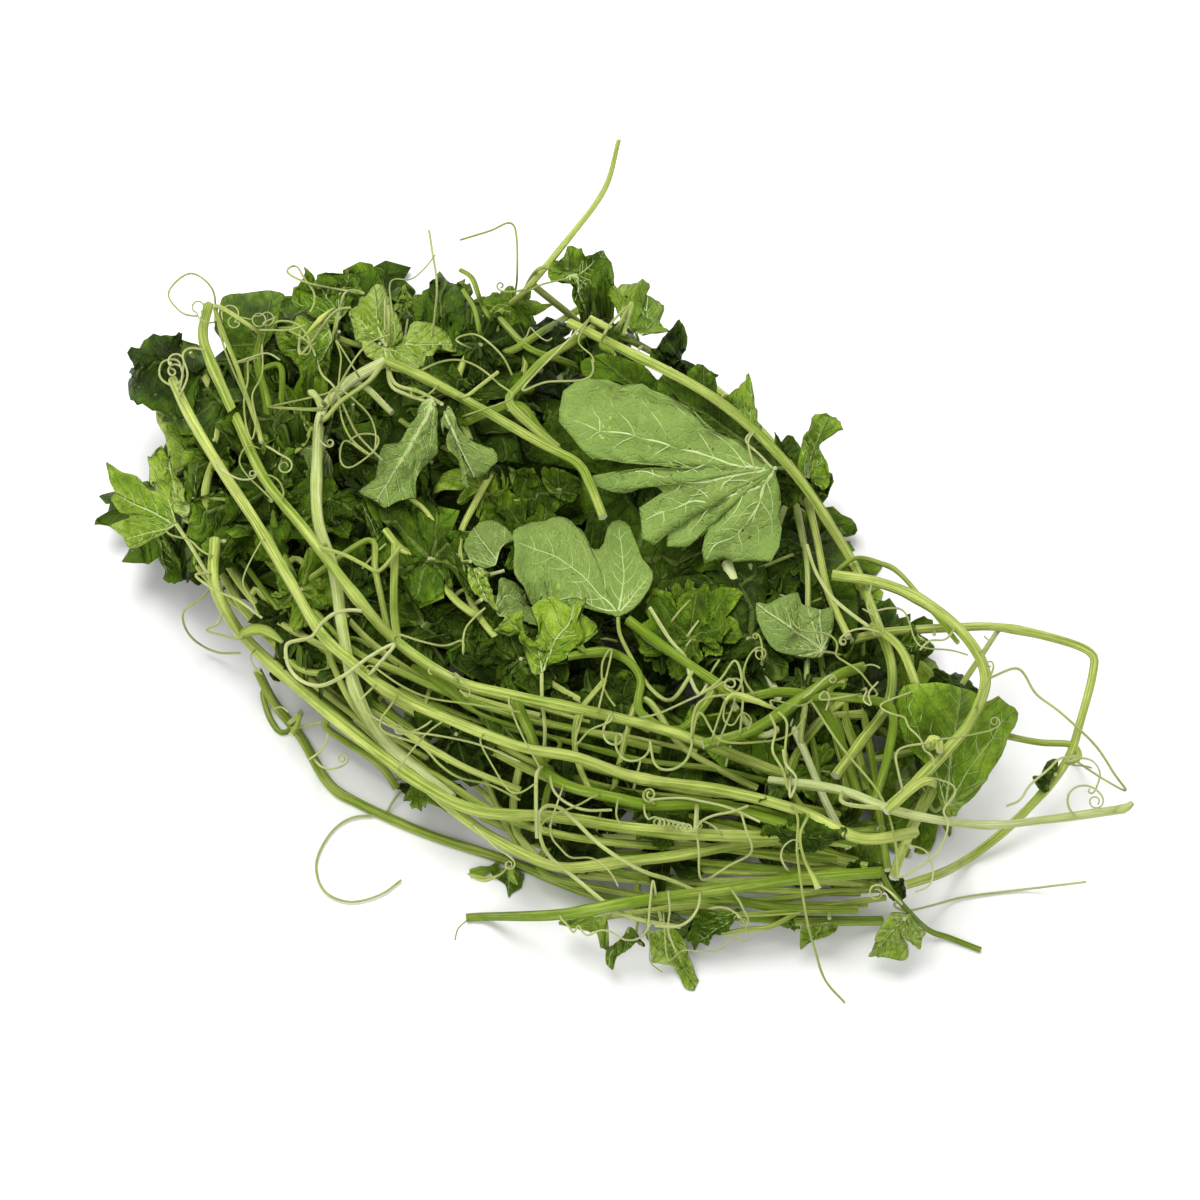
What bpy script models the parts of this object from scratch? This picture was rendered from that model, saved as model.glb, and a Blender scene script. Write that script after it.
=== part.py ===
"""A bunch of cut bitter melon vine tips, lying on a table.

Each vine is one solid: its stem with the petioles, leaves, tendrils and buds that grow from it. The vines
are laid down one after another, each resting clear on those under it. Routes are read as pixels of a 1200
pixel picture taken from above and in front, and a third number is a height. The layout is in millimetres,
with X to the right of the picture, Y away from it and Z up.
"""

import math
from collections import namedtuple

import bmesh
import bpy
import numpy as np

MM = 0.001
SEED = 11

# Picture that the routes are read in
PICTURE = 1200
ELEVATION = math.radians(52)
DISTANCE = 1000.0
LENS = 85.0
SENSOR = 36.0
AIM_HEIGHT = 30.0
MIDDLE = PICTURE / 2
PIXEL_SLOPE = SENSOR / LENS / PICTURE
PIXEL = DISTANCE * PIXEL_SLOPE
PLAN = None

# Middle of the finished bunch in plan, which the part's own frame stands on
ORIGIN = np.array((-0.7, 20.8, 0.0))

# Shape of the heap, before its top vines
HEAP_MIDDLE = (-10.0, 16.0)
HEAP_HEADING = math.radians(-36)
HEAP_HALF_LENGTH = 168.0
HEAP_HALF_WIDTH = 98.0
HEAP_HEIGHT = 52.0
HEAP_FALL = 20.0
HEAP_SQUARENESS = 3.0
HEAP_STEEPNESS = 0.5
HEAP_RIM = 0.75

# Clearances of one vine on another
CLEAR = 1.6
SINK = 0.45
TABLE = -4.0
CELL = 1.0
GRID_HALF = 240.0
CEILING = 170.0
HEIGHT_STEP = 0.5

# Fineness
PATH_STEP = 3.0
EASE = 13
CORNER = 2.0
STEM_TOLERANCE = 1.0
THIN_TOLERANCE = 0.9
BLADE_THICKNESS = 0.7
CAP_WELD = 1e-6
BLADE_SAMPLE = 3.0
THIN_WIDTH = 8.5
HELD_GAP = 2.5
BLADE_GRIP = 0.4
WAVES = 5
STEEPEST = 0.75
INNER_RING = 0.55
BLADE_MIDDLE = 0.15
PETIOLE_SHARE = 0.015
PETIOLE_WIDTH = 2.5
PETIOLE_END_WIDTH = 4.0
LIFT_ROUNDS = 60
LIFT_LEFT = 0.05
BALL_FLOOR = 0.04
SCRAP_POINTS = 16
SHARP_ANGLE = math.radians(40)

# Half of a leaf's outline, as degrees from the midrib and reach in midribs
LARGE_HALF = (
    (0, 1.0), (12, 0.84), (22, 0.72), (30, 0.50), (41, 0.80), (52, 0.90), (64, 0.70), (76, 0.44),
    (90, 0.64), (104, 0.70), (120, 0.42), (142, 0.50), (164, 0.32), (180, 0.06),
)
SMALL_HALF = ((0, 1.0), (28, 0.50), (50, 0.88), (77, 0.44), (104, 0.68), (142, 0.44), (180, 0.06))

# Outlines of the two largest leaves, in pixels round the petiole's end
LEAF_A_BASE = (775, 468)
LEAF_A_OUTLINE = (
    (771, 560), (750, 562), (722, 566), (703, 562), (699, 550), (712, 517), (690, 541), (668, 549),
    (655, 538), (643, 546), (636, 538), (637, 505), (662, 486), (632, 489), (600, 491), (590, 478),
    (668, 471), (640, 466), (598, 455), (560, 422), (575, 386), (604, 381), (650, 393), (686, 416),
    (712, 419), (738, 434), (760, 452),
)
LEAF_B_BASE = (618, 617)
LEAF_B_OUTLINE = (
    (604, 611), (584, 601), (540, 580), (516, 562), (510, 532), (522, 522), (555, 518), (576, 523),
    (588, 536), (598, 551), (605, 530), (616, 522), (627, 526), (638, 544), (650, 574), (645, 590),
    (631, 606),
)

STEM_GREEN = (0.38, 0.50, 0.12)
PALE_GREEN = (0.60, 0.68, 0.30)
LEAF_GREEN = (0.13, 0.28, 0.05)
DARK_GREEN = (0.04, 0.09, 0.02)

Vine = namedtuple("Vine", "name colour stem lines blades")
Line = namedtuple("Line", "width points turn")
Blade = namedtuple("Blade", "base tip spread cup curl wave petiole outline large turn rise")


def line(width, *points, turn=0.0):
    return Line(width, points, turn)


def blade(
    base, tip, spread=0.9, cup=0.15, curl=-0.1, wave=0.06, petiole=(), outline=None, large=False, turn=0.0,
    rise=0.0,
):
    return Blade(base, tip, spread, cup, curl, wave, petiole, outline, large, turn, rise)


# The picture's rays


def spot(turn, u, v, z):
    """Point at height z on the ray of pixel (u, v) of the camera turned this far, or over (u, v) in plan."""
    if turn is PLAN:
        return np.stack(np.broadcast_arrays(u, v, z), axis=-1)
    across = (u - MIDDLE) * PIXEL_SLOPE
    down = (v - MIDDLE) * PIXEL_SLOPE
    sine, cosine = math.sin(ELEVATION), math.cos(ELEVATION)
    run = (AIM_HEIGHT + DISTANCE * sine - z) / (sine + down * cosine)
    x = across * run
    y = run * (cosine - down * sine) - DISTANCE * cosine
    c, s = math.cos(turn), math.sin(turn)
    return np.stack(np.broadcast_arrays(c * x - s * y, s * x + c * y, z), axis=-1)


def pixel_of(turn, point):
    """Pixel (u, v) of a point in the picture of the camera turned this far."""
    if turn is PLAN:
        return np.array(point[:2], float)
    c, s = math.cos(turn), math.sin(turn)
    x = c * point[0] + s * point[1]
    y = c * point[1] - s * point[0]
    sine, cosine = math.sin(ELEVATION), math.cos(ELEVATION)
    away = y + DISTANCE * cosine
    drop = AIM_HEIGHT + DISTANCE * sine - point[2]
    depth = away * cosine + drop * sine
    down = (drop * cosine - away * sine) / depth
    return np.array((x / depth, down)) / PIXEL_SLOPE + MIDDLE


# The heap and what has been laid on it


def heap_height(x, y, kept_up=False):
    """Height of the heap. Kept up, it stays as high as at its rim on the side that faces away."""
    c, s = math.cos(HEAP_HEADING), math.sin(HEAP_HEADING)
    along = ((x - HEAP_MIDDLE[0]) * c + (y - HEAP_MIDDLE[1]) * s) / HEAP_HALF_LENGTH
    aside = ((y - HEAP_MIDDLE[1]) * c - (x - HEAP_MIDDLE[0]) * s) / HEAP_HALF_WIDTH
    if kept_up:
        along, aside = np.maximum(along, -HEAP_RIM), np.minimum(aside, HEAP_RIM)
    inside = 1 - np.abs(along) ** HEAP_SQUARENESS - np.abs(aside) ** HEAP_SQUARENESS
    return (HEAP_HEIGHT - HEAP_FALL * along) * np.clip(inside, 0, 1) ** HEAP_STEEPNESS


def heap_point(along, aside):
    """Plan position at these shares of the heap's half length and half width."""
    c, s = math.cos(HEAP_HEADING), math.sin(HEAP_HEADING)
    a, b = along * HEAP_HALF_LENGTH, aside * HEAP_HALF_WIDTH
    return HEAP_MIDDLE[0] + a * c - b * s, HEAP_MIDDLE[1] + a * s + b * c


def cells(points):
    """Grid cell of each point."""
    last = int(2 * GRID_HALF / CELL)
    index = np.rint((points[..., :2] + GRID_HALF) / CELL).astype(int)
    return tuple(np.clip(index, 0, last)[..., axis] for axis in (0, 1))


def bare_table():
    side = int(2 * GRID_HALF / CELL) + 1
    return np.full((side, side), TABLE)


def heap_field():
    """The heap as the picture's rays meet it, with its far side kept up."""
    side = np.arange(int(2 * GRID_HALF / CELL) + 1) * CELL - GRID_HALF
    return heap_height(side[:, None], side[None, :], kept_up=True)


def grown(top, reach):
    """The field swollen by a ball, so that a centre above it is at least this far from what was laid."""
    out = top + reach
    steps = int(reach / CELL)
    for i in range(-steps, steps + 1):
        for j in range(-steps, steps + 1):
            left = reach**2 - (i * i + j * j) * CELL**2
            if left > 0:
                np.maximum(out, np.roll(top, (i, j), (0, 1)) + math.sqrt(left), out=out)
    return out


def clear_height(field, turn, u, v):
    """Height at which each pixel's ray, followed down from the camera, first meets the field."""
    z = np.arange(0, CEILING, HEIGHT_STEP)
    points = spot(turn, u[:, None], v[:, None], z[None, :])
    blocked = field[cells(points)] > z
    return np.where(blocked, z + HEIGHT_STEP, 0).max(axis=1)


def stamp(top, points, reach):
    """Raises the field over balls of this reach at the points."""
    steps = int(reach / CELL + 0.5)
    rows, columns = cells(points)
    for i in range(-steps, steps + 1):
        for j in range(-steps, steps + 1):
            rise = np.sqrt(np.maximum(reach**2 - (i * i + j * j) * CELL**2, BALL_FLOOR * reach**2))
            np.maximum.at(top, (rows + i, columns + j), points[:, 2] + rise)


# Lines: stems, petioles and tendrils


def flowing(points, step):
    """Smooth curve through the points, at steps of about this many pixels."""
    p = np.array(points, float)
    p = np.vstack([2 * p[0] - p[1], p, 2 * p[-1] - p[-2]])
    pieces = []
    for a, b, c, d in zip(p, p[1:], p[2:], p[3:]):
        count = max(1, math.ceil(math.dist(b[:2], c[:2]) / step))
        t = (np.arange(count) / count)[:, None]
        bend = 2 * a - 5 * b + 4 * c - d
        pieces.append(0.5 * (2 * b + (c - a) * t + bend * t**2 + (3 * b - a - 3 * c + d) * t**3))
    pieces.append(p[-2:-1])
    return np.vstack(pieces)


def with_heights(points, turn, heap):
    """Gives each pixel its height: its own third number, or that of the heap there."""
    flat = np.array([point[:2] for point in points], float)
    found = clear_height(heap, turn, flat[:, 0], flat[:, 1])
    heights = [point[2] if len(point) > 2 else z for point, z in zip(points, found)]
    return np.column_stack([flat, heights])


def eased(height):
    """Smooth bumps that are nowhere lower than the heights."""
    windows = np.lib.stride_tricks.sliding_window_view(np.pad(height, EASE, mode="edge"), 2 * EASE + 1)
    kernel = np.hanning(2 * EASE + 3)[1:-1]
    return np.convolve(np.pad(windows.max(axis=1), EASE, mode="edge"), kernel / kernel.sum(), mode="valid")


def upper(a, b):
    """The higher of two heights, with the corner between them rounded."""
    return (a + b + np.sqrt((a - b) ** 2 + CORNER**2)) / 2


def thinned(points, tolerance):
    """Indices of the points that keep the line within the tolerance."""
    keep = {0, len(points) - 1}
    spans = [(0, len(points) - 1)]
    while spans:
        first, last = spans.pop()
        if last - first < 2:
            continue
        chord = points[last] - points[first]
        between = points[first + 1 : last] - points[first]
        along = np.clip(between @ chord / max(chord @ chord, 1e-9), 0, 1)
        off = np.linalg.norm(between - along[:, None] * chord, axis=1)
        if off.max() > tolerance:
            middle = first + 1 + int(off.argmax())
            keep.add(middle)
            spans += [(first, middle), (middle, last)]
    return sorted(keep)


def width_along(width, count):
    """Radius in millimetres at each point, from one width in pixels or several along the line."""
    widths = np.atleast_1d(np.array(width, float))
    return np.interp(np.linspace(0, 1, count), np.linspace(0, 1, len(widths)), widths) * PIXEL / 2


def laid_line(top, heap, piece, root=None, end=None):
    """Centre line and radii of a line, lifted clear of what was laid between the points that hold it."""
    route = with_heights(piece.points, piece.turn, heap)
    if root is not None:
        route = np.vstack([[*pixel_of(piece.turn, root), root[2]], route])
    step = PATH_STEP * PIXEL if piece.turn is PLAN else PATH_STEP
    path = flowing(route, step)
    radius = width_along(piece.width, len(path))
    need = clear_height(grown(top, radius.max() + CLEAR), piece.turn, path[:, 0], path[:, 1])
    height = upper(path[:, 2], eased(need))
    height = np.maximum(height, radius - min(SINK, radius.max() / 4))
    points = spot(piece.turn, path[:, 0], path[:, 1], height)
    if root is not None:
        points[0] = root
        away = np.linalg.norm(points - root, axis=1) > HELD_GAP
        away[0] = away[-1] = True
        points, radius = points[away], radius[away]
    if end is not None:
        points[-1] = end
        away = np.linalg.norm(points - end, axis=1) > HELD_GAP
        away[0] = away[-1] = True
        points, radius = points[away], radius[away]
    tolerance = STEM_TOLERANCE if radius.max() > THIN_WIDTH * PIXEL / 2 else THIN_TOLERANCE
    keep = thinned(points, tolerance)
    return points[keep], radius[keep]


def dense(points, step=0.7):
    """Points along a bent line at small steps."""
    pieces = []
    for a, b in zip(points, points[1:]):
        count = max(1, math.ceil(math.dist(a, b) / step))
        t = (np.arange(count) / count)[:, None]
        pieces.append(a + (b - a) * t)
    return np.vstack([*pieces, points[-1:]])


def nearest(points, turn, pixel):
    """The point of a line that lies nearest to a pixel in its picture."""
    seen = np.array([pixel_of(turn, point) for point in points])
    return points[np.linalg.norm(seen - np.array(pixel[:2]), axis=1).argmin()]


# Blades


def polar_outline(half):
    """Whole outline as (along, across) from half of it in degrees and reach."""
    turned = [*half, *((-angle, reach) for angle, reach in reversed(half[1:-1]))]
    return np.array([(r * math.cos(math.radians(a)), r * math.sin(math.radians(a))) for a, r in turned])


def blade_plan(piece):
    """Outline in the blade's own plane, along and across its midrib, in shares of the midrib's length."""
    if piece.outline is None:
        plan = polar_outline(LARGE_HALF if piece.large else SMALL_HALF)
        return plan * (1, piece.spread)
    base, tip = np.array(piece.base[:2], float), np.array(piece.tip[:2], float)
    midrib = (tip - base) / np.hypot(*(tip - base)) ** 2
    offsets = np.array(piece.outline, float) - base
    return np.column_stack([offsets @ midrib, offsets @ (midrib[1], -midrib[0])])


def rings_of(plan, inner, middle):
    """Points of a blade from a middle on its midrib out: the middle, then the rings."""
    centre = np.array((middle, 0.0))
    return np.vstack([[centre], *(centre + (plan - centre) * share for share in inner), plan])


def blade_middle(piece):
    """Share of the midrib at which a blade's triangles meet: its base where the notches run deep."""
    return 0.0 if piece.outline else BLADE_MIDDLE


def inner_rings(piece):
    return (INNER_RING,) if piece.outline else ()


def fan_faces(count, rings):
    """Triangles from the base to the first ring and between the rings."""
    faces = [(0, 1 + k, 1 + (k + 1) % count) for k in range(count)]
    for ring in range(rings - 1):
        start = 1 + ring * count
        for k in range(count):
            a, b = start + k, start + (k + 1) % count
            faces += [(a, a + count, b + count), (a, b + count, b)]
    return faces


def blade_rise(piece, plan, length):
    """Height of each point over the blade's flat plane: cupped at the midrib, curled, waved at the rim."""
    along, across = plan[:, 0], plan[:, 1]
    rim = np.hypot(along, across)
    angle = np.arctan2(across, along)
    waves = np.sin(WAVES * angle + piece.base[0]) * rim**2
    return length * (piece.cup * np.abs(across) + piece.curl * along * np.abs(along) + piece.wave * waves)


def triangle_samples(size):
    """Weights of the corners at points spread over a triangle of this size."""
    count = max(2, math.ceil(size / BLADE_SAMPLE))
    steps = range(count + 1)
    return [(i / count, j / count, (count - i - j) / count) for i in steps for j in steps[: count + 1 - i]]


def laid_blade(top, heap, piece):
    """Points, faces and samples of a blade's middle surface, draped clear over what was laid."""
    ends = with_heights([piece.base, piece.tip], piece.turn, heap)
    ends[:, 2] += piece.rise
    midrib = ends[1, :2] - ends[0, :2]
    aside = np.array((midrib[1], -midrib[0]))
    outline = blade_plan(piece)
    inner = inner_rings(piece)
    plan = rings_of(outline, inner, blade_middle(piece))
    pixels = ends[0, :2] + plan[:, :1] * midrib + plan[:, 1:] * aside
    scale = 1.0 if piece.turn is PLAN else PIXEL
    length = np.hypot(*midrib) * scale
    slope = np.clip(ends[1, 2] - ends[0, 2], -length, length)
    wanted = ends[0, 2] + slope * plan[:, 0] + blade_rise(piece, plan, length)
    faces = fan_faces(len(outline), len(inner) + 1)

    rows, corners = [], []
    for face in faces:
        a, b, c = pixels[list(face)] * scale
        size = max(math.dist(a, b), math.dist(b, c), math.dist(c, a))
        for weights in triangle_samples(size):
            corners.append(face)
            rows.append(weights)
    mix = np.zeros((len(rows), len(plan)))
    np.put_along_axis(mix, np.array(corners), np.array(rows), axis=1)
    seen = mix @ pixels
    need = clear_height(grown(top, BLADE_THICKNESS / 2 + CLEAR), piece.turn, seen[:, 0], seen[:, 1])
    need = np.maximum(need, BLADE_THICKNESS)
    height = np.maximum(wanted, BLADE_THICKNESS)
    for _ in range(LIFT_ROUNDS):
        short = np.maximum(need - mix @ height, 0)
        if short.max() < LIFT_LEFT:
            break
        height += (mix * short[:, None]).max(axis=0)
    apart = np.linalg.norm(pixels[:, None] - pixels[None], axis=2) * scale
    height = (height[None] - STEEPEST * apart).max(axis=1)
    points = spot(piece.turn, pixels[:, 0], pixels[:, 1], height)
    return points, faces, spot(piece.turn, seen[:, 0], seen[:, 1], mix @ height)


# Laying a vine


def laid_petiole(top, heap, piece, points, stem):
    """The stalk of a blade, from the nearest point of the stem and a little way along the midrib."""
    base, tip = np.array(piece.base[:2], float), np.array(piece.tip[:2], float)
    first = piece.petiole[0] if piece.petiole else base
    root = nearest(stem, piece.turn, first)
    into = points[0]
    if piece.outline is None:
        count = len(blade_plan(piece))
        notch = points[len(points) - count + count // 2]
        into = notch + BLADE_GRIP * (points[0] - notch)
    route = [*piece.petiole, (*pixel_of(piece.turn, into), into[2])]
    width = (PETIOLE_SHARE * math.dist(base, tip) + PETIOLE_WIDTH, PETIOLE_END_WIDTH)
    return laid_line(top, heap, Line(width, tuple(route), piece.turn), root, into)


def lay_vine(vine, top, heap):
    """Lays a vine on what is there: its stem, blades, petioles and other lines. Gives tubes and blades."""
    stem, radius = laid_line(top, heap, vine.stem)
    tubes = [(stem, radius)]
    own = top.copy()
    stamp(own, dense(stem), radius.max())
    for piece in vine.lines:
        root = nearest(dense(stem), piece.turn, piece.points[0])
        tubes.append(laid_line(top, heap, piece, root))
    blades = []
    for piece in vine.blades:
        points, faces, samples = laid_blade(own, heap, piece)
        stamp(own, samples, BLADE_THICKNESS)
        blades.append((points, faces))
        tubes.append(laid_petiole(top, heap, piece, points, dense(stem)))
    for points, radius in tubes:
        stamp(top, dense(points), radius.max())
    np.maximum(top, own, out=top)
    return tubes, blades


# The vines, from the bottom of the heap up

INNER_SHOOTS = 4
INNER_LEAVES = 5
INNER_LENGTHS = (34, 50)
BACK_SHOOTS = 3
BACK_LEAVES = 5
BACK_LENGTHS = (34, 50)
SHOOT_WIDTH = 9
SHOOT_FROM = -0.86
SHOOT_TO = 0.92
SHOOT_KNOTS = 8
SHOOT_SWAY = 0.05
LEAF_SCATTER = 7
LEAF_TURNS = 12
LEAF_FLOOR = 24
LEAF_RISE = 6
LEAF_SHARE = 0.25


def shoot_route(rng, aside, share):
    """Stem route in plan along the heap, at this share of the heap's height."""
    route = []
    for along in np.linspace(SHOOT_FROM, SHOOT_TO, SHOOT_KNOTS):
        sway = rng.uniform(-SHOOT_SWAY, SHOOT_SWAY)
        x, y = heap_point(along, aside * (1 - 0.5 * max(along, 0) ** 2) + sway)
        route.append((x, y, share * heap_height(x, y)))
    route[0] = (*route[0][:2], 0.0)
    route[-1] = (*route[-1][:2], 0.0)
    return route


def shoot(rng, name, aside, share, count, lengths):
    """A shoot along the heap, with leaves in plan that keep to the heap."""
    route = shoot_route(rng, aside, share)
    blades = []
    for place in range(count):
        x, y, z = route[place % (SHOOT_KNOTS - 2)]
        x, y = (x, y) + rng.uniform(-LEAF_SCATTER, LEAF_SCATTER, 2)
        length = rng.uniform(*lengths)
        angle = rng.uniform(0, math.tau)
        for _ in range(LEAF_TURNS):
            angle += math.tau / LEAF_TURNS
            tip = (x + length * math.cos(angle), y + length * math.sin(angle))
            if heap_height(*tip) > LEAF_FLOOR:
                break
        tip += ((share + LEAF_SHARE) * heap_height(*tip),)
        cup, curl, wave = rng.uniform(0.0, 0.1), rng.uniform(-0.35, -0.05), rng.uniform(0.02, 0.07)
        blades.append(blade((x, y, z + LEAF_RISE), tip, rng.uniform(0.7, 1.0), cup, curl, wave, turn=PLAN))
    return Vine(name, "dark", Line(SHOOT_WIDTH, tuple(route), PLAN), [], blades)


def hidden_vines():
    """Shoots on the back of the heap, and shoots inside it, which show in the gaps."""
    rng = np.random.default_rng(SEED)
    vines = []
    for index, aside in enumerate(np.linspace(0.74, 0.46, BACK_SHOOTS)):
        vines.append(shoot(rng, f"back_shoot_{index + 1}", aside, 0.25, BACK_LEAVES, BACK_LENGTHS))
    for index, aside in enumerate(np.linspace(0.3, -0.55, INNER_SHOOTS)):
        share = 0.25 + 0.12 * (index % 3)
        vines.append(shoot(rng, f"inner_shoot_{index + 1}", aside, share, INNER_LEAVES, INNER_LENGTHS))
    return vines


def table_vines():
    return [
        Vine(
            "outer_front_vine", "stem",
            line(10, (257, 670), (274, 703), (300, 736), (328, 783), (360, 804), (430, 835), (512, 862),
                 (590, 894), (640, 905), (720, 914), (800, 921), (882, 921)),
            [
                line(6, (262, 690), (268, 714), (280, 732), (292, 728), (301, 712)),
                line(3, (380, 816), (355, 817), (335, 828), (320, 850), (316, 870), (325, 892),
                     (350, 902), (380, 895), (401, 880)),
                line((4, 4, 12, 8), (500, 862), (488, 870), (470, 873)),
            ],
            [blade((508, 866), (510, 896), spread=1.0, cup=0.3)],
        ),
        Vine(
            "low_shaded_vine", "stem",
            line(9, (282, 655), (300, 680), (340, 715), (380, 750), (420, 775), (480, 805), (520, 826),
                 (600, 850), (700, 862), (800, 872), (872, 884)),
            [], [blade((420, 775), (470, 760)), blade((560, 838), (600, 800))],
        ),
        Vine(
            "middle_shaded_vine", "stem",
            line(9, (330, 640), (380, 690), (420, 715), (455, 735), (490, 750), (540, 775), (600, 796),
                 (700, 822), (800, 850), (870, 868)),
            [line(8, (520, 765), (514, 795), (514, 815), (518, 835), (537, 858))],
            [blade((455, 735), (500, 700)), blade((650, 810), (690, 770))],
        ),
        Vine(
            "bottom_leaf_vine", "stem",
            line(6, (886, 898), (850, 903), (800, 911), (740, 914), (700, 906), (640, 912), (600, 918)),
            [line(5, (800, 911), (770, 927), (750, 929), (722, 934))],
            [
                blade((660, 918), (697, 990), spread=0.62, cup=0.3),
                blade((632, 918), (604, 970), spread=0.45, cup=0.5),
                blade((610, 912), (560, 922), spread=0.7),
                blade((740, 916), (700, 938), spread=0.8),
                blade((830, 918), (804, 948), spread=0.8),
            ],
        ),
        Vine(
            "end_leaf_vine", "stem",
            line(6, (880, 868), (893, 893), (925, 928), (950, 938), (981, 950)),
            [
                line(3, (893, 905), (905, 911), (930, 906), (965, 897), (1020, 890), (1086, 882, 10)),
            ],
            [blade((905, 918), (870, 958), spread=1.0, cup=0.25)],
        ),
    ]


def right_vines():
    return [
        Vine(
            "inner_right_vine", "stem",
            line(8, (850, 560), (862, 600), (862, 640), (860, 680), (865, 720), (872, 760), (880, 820),
                 (888, 870)),
            [
                line(8, (878, 810), (866, 785), (860, 755), (847, 720), (845, 680)),
                line(9, (880, 830), (830, 830), (795, 800), (790, 772), (803, 745), (830, 712), (846, 700)
                    ),
            ],
            [
                blade((822, 650), (758, 606), spread=1.0, petiole=((858, 672), (845, 660))),
                blade((865, 690), (890, 652), spread=0.8),
                blade((862, 640), (835, 585), spread=0.9),
            ],
        ),
        Vine(
            "far_right_vine", "stem",
            line(9, (850, 640), (885, 632, 52), (960, 627, 50), (1000, 627, 48), (1050, 637, 44),
                 (1090, 652, 40), (1093, 672, 36), (1080, 722, 26), (1068, 758, 20), (1042, 793, 15),
                 (998, 836, 8), (950, 869), (903, 886)),
            [
                line(7, (1068, 764, 20), (1079, 757, 20), (1072, 745, 22), (1042, 743, 24),
                     (1015, 738, 26), (994, 732, 28)),
                line(6, (1000, 628), (985, 650, 46), (962, 684, 42)),
                line(3, (1070, 757), (1100, 777, 18), (1126, 791, 14), (1115, 775, 22), (1095, 745, 26),
                     (1060, 712, 32), (1036, 694, 36), (1025, 675, 40), (1015, 668, 42), (990, 678, 42)),
            ],
            [
                blade((1056, 774), (1030, 800, 14), spread=0.8, rise=2),
                blade((935, 634), (903, 654), spread=0.8),
            ],
        ),
    ]


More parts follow.
